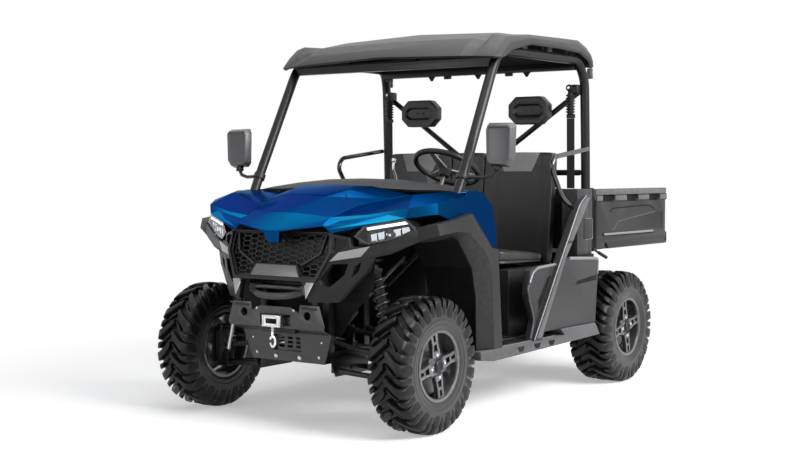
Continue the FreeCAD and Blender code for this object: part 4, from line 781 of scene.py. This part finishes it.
def top_cover(bm, middle):
    """Cuts the grey top cover's outline into the back's front face and marks its faces."""
    lines = [(Vector((0, 0, COVER_FOOT)), Vector((0, 0, -1)))]
    for sign in (1, -1):
        lines.append((Vector((0, middle + sign * COVER_HALF, COVER_FOOT)),
                      Vector((0, sign, -COVER_SLOPE)).normalized()))
    for place, away in lines:
        bmesh.ops.bisect_plane(bm, geom=bm.verts[:] + bm.edges[:] + bm.faces[:], dist=1e-5, plane_co=place,
                               plane_no=away)
    for face in bm.faces:
        centre = face.calc_center_median()
        face.material_index = int(all((centre - place).dot(away) < 0 for place, away in lines))


def make_seats():
    for name, near, far in (("driver", 112, 545), ("middle", -108, 108), ("passenger", -545, -112)):
        pad(name + "_cushion", mm(-208, near, 690.5), mm(242, far, 806), mm(8, 5, 24), "cushion_vinyl",
            "seat_cushions", welt, 24, fall)
        pad(name + "_back", mm(-292, near, 692), mm(-222, far, 1303), mm(9, 3, 4), "seat_vinyl",
            "seat_backs", seams, 5, lean, top_cover if name != "middle" else None)


def make_headrests():
    outline = ((287, 1456), (441, 1456), (487, 1500), (487, 1566), (441, 1610), (287, 1610), (241, 1566), (241, 1500))
    middle, waist = 1.533, 0.72
    for side, sign in SIDES:
        bm = bmesh.new()
        pushed(bm, [mm(-380, sign * y, z) for y, z in outline], mm(60, 0, 0))
        bmesh.ops.recalc_face_normals(bm, faces=bm.faces)
        front = max(bm.faces, key=lambda item: item.calc_center_median().x)
        bmesh.ops.inset_region(bm, faces=[front], thickness=0.022, depth=0.0)
        bmesh.ops.inset_region(bm, faces=[front], thickness=0.012, depth=-0.004)
        for vert in front.verts:
            vert.co.z = middle + (vert.co.z - middle) * waist
        bmesh.ops.inset_region(bm, faces=[front], thickness=0.004, depth=-0.013)
        rounded(bm, 0.005, 25, 3)
        piece = place_piece("headrest_%s" % side, bm, "seat_vinyl", "root", 30)
        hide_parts("headrests")
        screws = [(bolt, mm(-340, sign * y, 1533), FORWARD, 0.008) for y in (345, 383)]
        build("headrest_screws_%s" % side, "black_mould",
              screws + [(block, mm(-398, sign * 400 - 20, 1460), mm(-379, sign * 400 + 20, 1492), 0.003)])


# Trim pieces

def make_belts():
    for side, sign in SIDES:
        bm = bmesh.new()
        strap = side_view(sign * 585, (-373, 1104), (-372, 1180), (-370, 1300), (-368, 1400), (-367, 1485))
        verts = [bm.verts.new(point) for point in strap]
        edges = [bm.edges.new(ends) for ends in zip(verts, verts[1:])]
        wide = bmesh.ops.extrude_edge_only(bm, edges=edges)["geom"]
        bmesh.ops.translate(bm, vec=mm(0, sign * 47, 0), verts=points_in(wide))
        bmesh.ops.recalc_face_normals(bm, faces=bm.faces)
        bmesh.ops.solidify(bm, geom=bm.faces[:], thickness=0.0016)
        bmesh.ops.subdivide_edges(bm, edges=bm.edges, cuts=3, use_grid_fill=True)
        belt = place_piece("belt_%s" % side, outward(bm), "webbing", "root")
        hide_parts("seat_belts")
        folds = [(0, 0), (0, 0.016)]
        for fold in range(7):
            far = 0.006 + fold * 0.0148
            folds += [(far, 0.017), (far + 0.004, 0.0255), (far + 0.008, 0.026), (far + 0.0125, 0.017)]
        folds += [(0.112, 0.017), (0.114, 0)]
        boot = build("belt_boot_%s" % side, "rubber_boot",
                     [(turned, folds, mm(-366, sign * 607, 1508), UP, 28)], sharp=60)
        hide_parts("seat_belts")
        knob = [(0, 0), (0, 0.019), (0.010, 0.018), (0.013, 0.012), (0.013, 0)]
        clip = build("belt_clip_%s" % side, "black_mould", [
            (block, mm(-378, sign * 608 - 24, 1486), mm(-360, sign * 608 + 24, 1509), 0.004),
            (block, mm(-426, sign * 622 - 30, 1618), mm(-356, sign * 622 + 30, 1668), 0.008),
            (turned, knob, mm(-356, sign * 606, 1650), FORWARD, 28),
        ])
        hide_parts("seat_belts")
        build("belt_bolt_%s" % side, "bright_steel",
              [(bolt, mm(-344, sign * 606, 1650), FORWARD, 0.009, False)])


RIM_RADIUS, GRIP_RADIUS = 0.165, 0.0145


def make_steering_wheel():
    centre = mm(445, 335, 1215)
    axis = Vector((-0.5, 0, 0.866025))
    across = Vector(LEFT)
    ahead = across.cross(axis)
    bm = bmesh.new()
    pipe(bm, circle(centre, across, ahead, RIM_RADIUS, 72), GRIP_RADIUS, 14, closed=True)
    for vert in bm.verts:
        far = vert.co - centre
        turn = math.atan2(far.dot(ahead), far.dot(across))
        ring = centre + (across * math.cos(turn) + ahead * math.sin(turn)) * RIM_RADIUS
        vert.co = ring + (vert.co - ring) * (1 + math.sin(turn * 36) * 0.0008 / GRIP_RADIUS)
    wheel = place_piece("wheel_rim_grip", outward(bm), "black_mould", "hand_wheel", 60)
    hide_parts("steering_wheel")
    spokes = []
    for turn in (90, 210, 330):
        angle = math.radians(turn)
        out = across * math.cos(angle) + ahead * math.sin(angle)
        side = axis.cross(out)
        low = centre - axis * 0.022
        start, end = low + out * 0.02, low + out * 0.158 + axis * 0.012
        outline = [start - side * 0.024, start + side * 0.024, end + side * 0.014, end - side * 0.014]
        spokes.append((plate, outline, axis * 0.008, 0.002))
    build("wheel_spokes", "alloy", spokes, "hand_wheel")
    hub = [(-0.050, 0), (-0.050, 0.026), (-0.024, 0.036), (-0.014, 0.038), (-0.008, 0.034), (-0.006, 0.02),
           (-0.006, 0)]
    build("wheel_hub", "black_mould", [(turned, hub, centre, axis, 36)], "hand_wheel")


def make_mirrors():
    outline = ((752, 1425), (886, 1423), (900, 1407), (894, 1246), (868, 1214), (764, 1218), (746, 1240), (742, 1400))
    route = ((790, 655, 1164), (768, 672, 1168), (752, 740, 1165), (738, 792, 1176), (733, 808, 1196), (731, 812, 1222))
    for side, sign in SIDES:
        bm = bmesh.new()
        middle = mm(0, sign * 822, 1320)
        narrow, low = 0.84, 0.88
        for vert in pushed(bm, [mm(712, sign * y, z) for y, z in outline], mm(38, 0, 0))[1]:
            vert.co.y = middle.y + (vert.co.y - middle.y) * narrow
            vert.co.z = middle.z + (vert.co.z - middle.z) * low
        bmesh.ops.recalc_face_normals(bm, faces=bm.faces)
        front = max(bm.faces, key=lambda item: item.calc_center_median().x)
        bmesh.ops.inset_region(bm, faces=[front], thickness=0.008, depth=0.0, use_even_offset=True)
        bmesh.ops.inset_region(bm, faces=[front], thickness=0.003, depth=-0.004, use_even_offset=True)
        back = min(bm.faces, key=lambda item: item.calc_center_median().x)
        bmesh.ops.inset_region(bm, faces=[back], thickness=0.007, depth=0.0)
        bmesh.ops.inset_region(bm, faces=[back], thickness=0.001, depth=-0.004)
        glass = max((item for item in bm.faces if item.normal.x < -0.9), key=lambda item: item.calc_area())
        glass.material_index = 1
        rounded(bm, 0.0025, 25)
        piece = place_piece("mirror_%s" % side, bm, ["mirror_shell", "mirror_glass"], "root", 30)
        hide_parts("mirrors")
        clamp = [(-0.014, 0.0262), (-0.014, 0.031), (0.014, 0.031), (0.014, 0.0262), (-0.014, 0.0262)]
        arm = build("mirror_arm_%s" % side, "black_mould", [
            (pipe, [mm(x, sign * y, z) for x, y, z in route], 0.009, 14),
            (block, mm(716, sign * 812 - 16, 1196), mm(746, sign * 812 + 16, 1222), 0.004),
            (turned, clamp, mm(770, sign * 638.6, 1168), (-0.463, sign * -0.011, 0.886), 28),
        ])
        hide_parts("mirrors")


def make_lever():
    route = side_view(130, (606, 1112), (600, 1140), (600, 1165), (610, 1186), (624, 1205), (623, 1230), (618, 1250))
    knob = [(-0.004, 0), (-0.004, 0.008), (0.004, 0.012), (0.014, 0.012), (0.018, 0.008), (0.019, 0)]
    piece = build("gear_lever_finished", "satin_lever",
                  [(pipe, route, 0.0065, 14), (turned, knob, mm(618, 130, 1244), (-0.1, 0, 1))])
    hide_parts("gear_lever")
    boot = [(0, 0.02), (0.004, 0.026), (0.008, 0.022), (0.013, 0.024), (0.017, 0.018), (0.022, 0.019), (0.026, 0.012),
            (0.03, 0.008)]
    build("gear_lever_boot", "rubber_boot", [(turned, boot, mm(605, 130, 1102), (-0.1, 0, 1))],
          sharp=60)


# Front end

def wing(y, z, back=0.0):
    """A point on the swept face beside the grille; y may be negative for the other side."""
    return mm(1520.5 - 0.547 * abs(y) - back, y, z)


def make_lamps():
    cells = (
        ((455, 872), (478, 876), (476, 914), (454, 908)), ((484, 878), (508, 882), (506, 921), (482, 916)),
        ((546, 892), (574, 902), (570, 936), (544, 930)), ((580, 906), (612, 924), (606, 944), (576, 938)),
    )
    bowl = [(0, 0), (0, 0.0165), (0.006, 0.0175), (0.010, 0.0165), (0.016, 0.012), (0.019, 0)]
    bar = ((441, 939), (596, 968), (607, 956), (444, 926))
    reflectors, glow = [], []
    for sign in (1, -1):
        glow.append((plate, [wing(sign * y, z, 11.5) for y, z in bar], mm(-5, 0, 0), 0.001))
        for cell in cells:
            reflectors.append((plate, [wing(sign * y, z, 22) for y, z in cell], mm(-14, 0, 0), 0.002))
        reflectors.append((turned, bowl, wing(sign * 526, 906, 30), (1, 0.45 * sign, 0), 28))
    build("lamp_reflectors", "chrome", reflectors)
    build("lamp_light_bars", "lamp_glow", glow)


def make_winch():
    """The fairlead with its rollers, the hook on its last turns of rope, the drum, and the folded plate's bolts."""
    face, foot = 1391, 1299
    rollers = [(drum, mm(face + 26, y, 498.5), UP, 0.024, 0.0075) for y in (-40, 40)]
    rollers += [(drum, mm(face + 27, 0, z), LEFT, 0.033, 0.006) for z in (482, 515)]
    rollers += [(bolt, mm(face + 29.5, y, z), FORWARD, 0.005, False) for y in (-50, 50) for z in (476, 521)]
    build("fairlead_rollers", "chrome", rollers)
    points = []
    for number in range(24):
        turn = math.radians(-70 + 320 * number / 23)
        high = 26 if math.cos(turn) < 0 else 22
        points.append(mm(face + 17 - number * 0.1, 15 * math.sin(turn), 404 + high * math.cos(turn)))
    shank = [(0, 0), (0, 0.008), (0.02, 0.007), (0.026, 0.004), (0.026, 0)]
    parts = [(pipe, points, 0.0065, 10), (turned, shank, mm(face + 17, 0, 428), UP, 18)]
    for start in (446, 456, 466):
        steps = (number * math.tau / 12 for number in range(13))
        rope = [mm(face + 17 + 6 * math.sin(step), 6 * math.cos(step), start + step * 1.6) for step in steps]
        parts.append((pipe, rope, 0.003, 8))
    hook = build("tow_hook", "chrome", parts)
    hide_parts("winch")
    frame_bars = [((face, y - 4, 471), (face + 30, y + 4, 526)) for y in (-52, 52)]
    frame_bars += [((face, -55, z - 3), (face + 30, 55, z + 3)) for z in (474, 523)]
    blocks("fairlead_frame", "bright_steel", frame_bars, mirror=False)
    bolts = [(bolt, mm(foot, y, 321), FORWARD, 0.010) for y in (-72, 72)]
    for sign in (1, -1):
        bolts += [(bolt, mm(x, sign * y, z), FORWARD, size) for x, y, z, size in (
            (foot + 1, 190, 330, 0.007), (foot + 5, 210, 400, 0.006), (face, 112, 552, 0.005))]
    build("plate_bolts", "bright_steel", bolts)
    blocks("plate_ears", "frame_coat", [((face, 160, 560), (face + 3, 250, 571))], 1)
    spool = [(-0.075, 0), (-0.075, 0.036), (-0.068, 0.04), (0.068, 0.04), (0.075, 0.036), (0.075, 0)]
    build("winch_drum", "black_mould", [
        (block, mm(1330, -110, 440), mm(1378, 110, 520), 0.01),
        (turned, spool, mm(1336, 0, 486), LEFT, 28),
    ])


def make_radiator():
    """The dark core behind the grille, with its tanks and rows of fins."""
    core = [(block, mm(1264, -225, 660), mm(1292, 225, 880), 0.004)]
    core += [(block, mm(1292, -205, z), mm(1296, 205, z + 3)) for z in range(668, 878, 10)]
    core += [(block, mm(1256, y - 14, 655), mm(1300, y + 14, 885), 0.006) for y in (228, -228)]
    build("radiator_core", "black_mould", core)


def make_front_bay():
    """The shroud that closes the bay behind the grille, and the blank plate on the grille's foot."""
    half = ((250, 420), (330, 545), (392, 600), (440, 660), (446, 880), (300, 897))
    outline = half + tuple((-y, z) for y, z in half[::-1])
    shroud = [(plate, cross_view(1212, *outline), mm(-5, 0, 0), 0.002)]
    shroud += [(block, mm(1210, -380, z), mm(1217, 380, z + 5), 0.001) for z in range(600, 880, 40)]
    shroud.append((block, mm(1252, -440, 880), mm(1262, 440, 938), 0.003))
    build("front_bay_shroud", "liner_mould", shroud)
    corners = ((-118, 760), (118, 760), (146, 708), (-146, 708))
    foot = [mm(1348 + (911 - z) * 53 / 209, y, z) for y, z in corners]
    build("grille_plate", "plate_grey", [(plate, foot, mm(-4, 0, 0), 0.0015)])
    blocks("floor_edges", "black_mould", [((-60, 404, 337), (560, 582, 346))], 2)
    guard = side_view(236, (1272, 322), (1268, 290), (1238, 236), (985, 236), (985, 300), (1100, 330))
    guards = [(plate, guard, mm(0, 5, 0), 0.0015)]
    guards += [(bolt, mm(x, 241, 268), LEFT, 0.007) for x in (1030, 1120, 1210)]
    build("arm_guards", "frame_coat", guards, mirror=True)
    blocks("panel_caps", "liner_mould", [((-446, 640, 716), (-262, 716, 748))], 4)


def make_roof_details():
    """The dark lining that closes the visor, the hanging tabs of the rear bar and the marker clips."""
    lining = [(block, mm(452, -560, 1757), mm(470, 560, 1812), 0.003),
              (block, mm(470, -560, 1756), mm(500, 560, 1768), 0.003)]
    lining += [(block, mm(496, y - 70, 1757), mm(520, y + 70, 1771), 0.004) for y in (-300, 120)]
    build("visor_lining", "liner_mould", lining)
    bar = -350
    tab = ((-26, 1748), (-13, 1732), (-8, 1723), (0, 1719), (8, 1723), (13, 1732), (26, 1748), (9, 1748), (-9, 1748))
    eye = [(0, 0.0045), (0, 0.0085), (0.003, 0.0085), (0.003, 0.0045), (0, 0.0045)]
    tabs = []
    for middle in (-294, 23, 340):
        tabs.append((plate, cross_view(bar, *((middle + y, z) for y, z in tab)), mm(-7, 0, 0), 0.001))
        tabs.append((turned, eye, mm(bar, middle, 1733), FORWARD, 20))
    tabs += [(block, mm(bar - 12, y - 22, 1728), mm(bar + 6, y + 22, 1750), 0.003) for y in (-600, -184, 226)]
    build("roof_tabs", "frame_coat", tabs)
    blocks("marker_clips", "panel_edge", [((-474, 655, 1702), (-462, 690, 1760))], 4)


SILL_NOTCHES = (80, 229, 392)


def make_side_details():
    """The strut's raised faces, light rims as a painted highlight on the strut's and panels' rolled edges, near-black
    plates as painted shade in each recess, and the latch doors and sills.
    """
    faces = (
        side_view(744.5, (238, 352), (-16, 716), (-84, 818), (-131, 818), (-63, 744), (190, 352)),
        side_view(744.5, (-91, 832), (-230, 1018), (-298, 1058), (-334, 1058), (-143, 832)),
    )
    # Painted highlight: the strut's and panels' rolled edges are round bars in light grey, standing for the light they
    # catch.
    rims = (
        (side_view(744, (258, 345), (-6, 722), (-222, 1022), (-296, 1066)), 5, 0.3, 0.0035, 8),
        (side_view(730, (-128, 738), (-440, 722), (-458, 712), (-451, 640)), 6, 0.45, 0.0095, 12),
        (side_view(718, (0, 712), (190, 704), (236, 684), (268, 634)), 5, 0.4, 0.008, 12),
    )
    # Painted highlight: the kick panel's rounded top edge is a bar in the lighter sill grey, standing for the light it
    # catches.
    kick = side_view(718, (264, 640), (284, 604), (268, 545), (216, 443), (254, 350))
    # Painted shade: thin near-black plates standing for the shadow in two recesses of the side panels.
    recess_shade_plates = (side_view(736.4, (-190, 594), (-212, 614), (-434, 635), (-437, 606)),
                side_view(722.4, (50, 659), (176, 487), (188, 536), (92, 650)))
    door = side_view(704, (-352, 828), (-432, 828), (-440, 836), (-440, 934), (-432, 942), (-352, 942), (-344, 934),
                     (-344, 836))
    door_rim = side_view(707, (-352, 942), (-440, 942), (-440, 828), (-352, 828))
    notches = [side_view(744.6, (x - 36, 327), (x + 36, 327), (x + 18, 302), (x - 18, 302)) for x in SILL_NOTCHES]
    for name, paint, shapes in (
        ("strut_faces", "strut_grey", [(plate, face, mm(0, 4, 0), 0.0016) for face in faces]),
        # The panel rims are painted highlights on rolled edges.
        ("panel_rim_highlights", "panel_edge", [(pipe, bent(route, *bend), radius, count)
                                      for route, *bend, radius, count in rims]),
        # The kick rims are a painted highlight on the kick panel's edge.
        ("kick_rim_highlights", "sill_mould", [(pipe, bent(kick, 5, 0.4), 0.006)]),
        # The recess plates are painted shade.
        ("panel_recess_shade", "liner_mould", [(plate, outline, mm(0, 1.2, 0)) for outline in recess_shade_plates]),
        ("pillar_covers", "charcoal_mould", [(block, mm(-444, 612, 744), mm(-396, 704, 1101), 0.006)]),
        ("latch_doors", "bed_mould", [(plate, door, mm(0, 3.5, 0), 0.0015)]),
        ("latch_rims", "panel_edge", [(pipe, bent(door_rim, 4, 0.12), 0.0016, 8)]),
        ("bed_gasket", "liner_mould", [(block, mm(-469, 640, 776), mm(-446, 701, 1106), 0.003)]),
        ("sill_notches", "liner_mould", [(plate, outline, mm(0, 1.2, 0)) for outline in notches]),
    ):
        build(name, paint, shapes, mirror=True)
    blocks("sill_strips", "panel_edge", [((8, 606, 338), (556, 730, 343))], 2)
    steps = [((x, 616, 341), (x + 9, 720, 345.5)) for x in range(24, 540, 26)]
    blocks("sill_treads", "black_mould", steps, 1)
    mat = [((256, y, 351), (664, y + 9, 354.5)) for y in range(60, 400, 26)]
    blocks("floor_mat_ribs", "black_mould", mat, 1)


BED_REAR = -1435


def make_bed_details():
    """Lines and light strips on the bed's sides, its release lever, ribs and rings, lighter rail faces as a painted
    highlight strip, and the gate's pressings.
    """
    line = side_view(689.5, (-690, 970), (-718, 989), (-1136, 999), (-1216, 998), (-1284, 971))
    grooves = [(pipe, bent(line), 0.0035, 8)]
    for x in (-656, -959, -1260):
        slot = side_view(680.2, (x - 72, 1043), (x - 60, 1029), (x + 72, 1029), (x + 72, 1060), (x + 60, 1073),
                         (x - 72, 1073))
        grooves.append((plate, slot, mm(0, 0.8, 0)))
    grooves.append((block, mm(-504, 700, 777), mm(-480, 703, 1040), 0.001))
    strip = side_view(699, (-600, 840), (-600, 852), (-1240, 852), (-1250, 840))
    crease = side_view(688.5, (-722, 861), (-800, 915), (-1290, 960))
    rings = []
    for x in (-560, -1340):
        ring = circle(mm(x, 655, 850), Vector(FORWARD), Vector(UP), 0.022, 24)
        rings += [(pipe, ring, 0.004, 8, True), (block, mm(x - 12, 656, 866), mm(x + 12, 666.5, 886), 0.002)]
    ribs = [((-1392, y, 794), (-520, y + 26, 799)) for y in range(30, 640, 75)]
    # Painted highlight: the side rails' faces between the slots are in a lighter grey, standing for a bright strip of
    # light along them.
    rail_highlight_faces = [((-1432, 694, 1067), (-506, 696.5, 1098))]
    rail_highlight_faces += [((back, 699, 1034), (front, 701.5, 1060))
              for back, front in ((-1430, -1340), (-1182, -1038), (-880, -735), (-577, -506))]
    build("bed_side_grooves", "liner_mould", grooves, "bed", mirror=True)
    build("bed_side_strips", "panel_edge",
          [(plate, strip, mm(0, 1.2, 0), 0.0004), (pipe, bent(crease, 5, 0.2), 0.0018, 6)], "bed", mirror=True)
    build("bed_release", "black_mould", [
        (pipe, bent(side_view(640, (-560, 770), (-600, 757), (-738, 711))), 0.0065, 12),
        (pipe, bent(side_view(640, (-652, 739.5), (-746, 708.5))), 0.0095, 14),
        (block, mm(-572, 624, 752), mm(-548, 656, 768), 0.003),
    ], "bed")
    blocks("bed_floor_ribs", "charcoal_mould", ribs, 2, "bed")
    build("bed_rings", "bright_steel", rings, "bed", mirror=True)
    # The rail faces are a painted highlight.
    blocks("bed_rail_highlights", "sill_mould", rail_highlight_faces, 1, "bed")
    outer, inner = BED_REAR - 0.3, BED_REAR + 4
    pressings = [(block, mm(outer, -560, z), mm(inner, 560, z + 8), 0.001) for z in (930, 850)]
    pressings += [(block, mm(outer, y - 4, 850), mm(inner, y + 4, 938), 0.001) for y in (-500, 500)]
    pressings.append((block, mm(outer - 0.1, -110, 985), mm(inner, 110, 1035), 0.004))
    build("gate_pressings", "liner_mould", pressings, "gate")
    blocks("gate_handle", "black_mould", [((BED_REAR - 0.8, -88, 1008), (BED_REAR + 6, 88, 1026))], 5,
           "gate", False)
    blocks("tail_lamp_lenses", "red_lens", [((-1221.5, 231, z), (-1216, 311, z + 24)) for z in (598, 646)],
           2)


def make_cockpit():
    """The instrument's glass, switches, glove box lid, pedals, the engine's drive cover and fins, and the brakes."""
    dial = cross_view(622.8, (291, 1106), (379, 1106), (371, 1142), (299, 1142))
    build("instrument_glass", "dark_glass", [(plate, dial, mm(-2.5, 0, 0), 0.001)])
    keys = [((592, y, 1066), (601, y + 26, 1094)) for y in (40, 76, 112, 148)]
    blocks("dash_switches", "black_mould", keys, 3, mirror=False)
    blocks("glove_lid", "dash_mould", [((580, -420, 1010), (602, -170, 1082))], 6, mirror=False)
    blocks("glove_pull", "black_mould", [((575, -320, 1066), (584, -270, 1076))], 2, mirror=False)
    pedals = []
    for y, wide, z in ((290, 34, 500), (390, 24, 490)):
        pedals.append((block, mm(668, y - wide, z - 30), mm(680, y + wide, z + 30), 0.004))
        pedals.append((pipe, bent(side_view(y, (676, z), (700, z + 120), (726, z + 330))), 0.007, 10))
    build("pedals", "dull_steel", pedals)
    covers = []
    for x, z, radius in ((-560, 480, 0.088), (-430, 470, 0.062)):
        cover = [(0, 0), (0, radius), (0.022, radius), (0.032, radius * 0.92), (0.034, radius * 0.6),
                 (0.028, radius * 0.5), (0.028, 0)]
        covers.append((turned, cover, mm(x, 150, z), LEFT, 40))
    covers.append((block, mm(-556, 150, 420), mm(-430, 174, 545), 0.012))
    build("belt_drive_cover", "black_mould", covers)
    fins = [(block, mm(-615, -168, z), mm(-390, -150, z + 6), 0.001) for z in range(400, 598, 22)]
    filter_case = [(0, 0), (0, 0.036), (0.07, 0.036), (0.078, 0.03), (0.078, 0)]
    fins.append((turned, filter_case, mm(-505, -160, 372), (0, -1, 0), 28))
    build("engine_fins", "alloy", fins)
    axle = FRONT_AXLE * 1000
    for side, sign in SIDES:
        near, far = sorted((sign * 648, sign * 692))
        inside, outside = sorted((sign * 596, sign * 656))
        caliper = [(block, mm(axle - 142, near, 268), mm(axle - 84, far, 352), 0.007),
                   (block, mm(axle - 110, inside, 296), mm(axle - 86, outside, 326), 0.004)]
        caliper += [(bolt, mm(axle - 112, sign * 648, z), (0, -sign, 0)) for z in (288, 332)]
        build("brake_caliper_%s" % side, "alloy", caliper, "upright_%s" % side)


def dress_nodes():
    """Every other node keeps its solid's form, with its edges rounded and its own finish."""
    plain = [
        ("hood", 0.004, "blue_lacquer", 16, 11), ("fenders", 0.004, "blue_lacquer", 16, 11),
        ("roof", 0.012, "roof_mould", 8), ("flares", 0.004, "flare_mould", 20, 14),
        ("front_fascia", 0.0025, "black_mould"),
        ("front_accents", 0.001, "silver_paint"), ("headlights", 0.001, "lamp_black"),
        ("bumper", 0.0015, "bumper_coat"), ("rockers", 0.004, "sill_mould"),
        ("side_panels", 0.005, "charcoal_mould"), ("bed_box", 0.003, "bed_mould"),
        ("tailgate", 0.003, "bed_mould"), ("dashboard", 0.003, "dash_mould"),
        ("seat_box", 0.006, "black_mould"), ("floor_pan", 0.002, "black_mould"),
        ("engine_block", 0.008, "alloy"), ("tail_lamps", 0.006, "red_lens"),
        ("knuckle_left", 0.003, "cast_iron"), ("knuckle_right", 0.003, "cast_iron"),
        ("driveline", 0.003, "cast_iron"), ("front_arms", 0.002, "frame_coat"), ("rear_arms", 0.002, "frame_coat"),
        ("chassis_frame", 0.002, "frame_coat"), ("front_frame", 0.002, "frame_coat"),
        ("rear_frame", 0.002, "frame_coat"), ("grille", 0.0008, "black_mould"),
        ("cage_crossbars", 0.002, "frame_coat"), ("exhaust", 0.004, "dull_steel"),
        ("steering_gear", 0.002, "dull_steel"),
    ]
    body_of = {node: body for body, members in frame["record"]["behaviour"]["bodies"].items() for node in members}
    slot_of = {part["node"]: part["material_slot"] for part in frame["record"]["subparts"]}
    for node, width, paint, *angle in plain:
        softened(node, width, paint, body_of[node], slot_of[node], *angle)
    kept = {
        "cage_hoops": "frame_coat", "hip_bars": "gloss_bar", "skid_plate": "frame_coat",
        "wheel_liners": "liner_mould", "steering_rack": "bright_steel", "lamp_lenses": "clear_lens",
    }
    for node, paint in kept.items():
        mesh = nodes[node].data
        mesh.materials.clear()
        mesh.materials.append(materials[paint])
        for face in mesh.polygons:
            face.material_index = 0


set_camera()
set_studio()
make_finishes()
dress_nodes()
make_wheels()
make_springs()
make_seats()
make_headrests()
make_belts()
make_steering_wheel()
make_mirrors()
make_lever()
make_lamps()
make_winch()
make_radiator()
make_front_bay()
make_roof_details()
make_side_details()
make_bed_details()
make_cockpit()
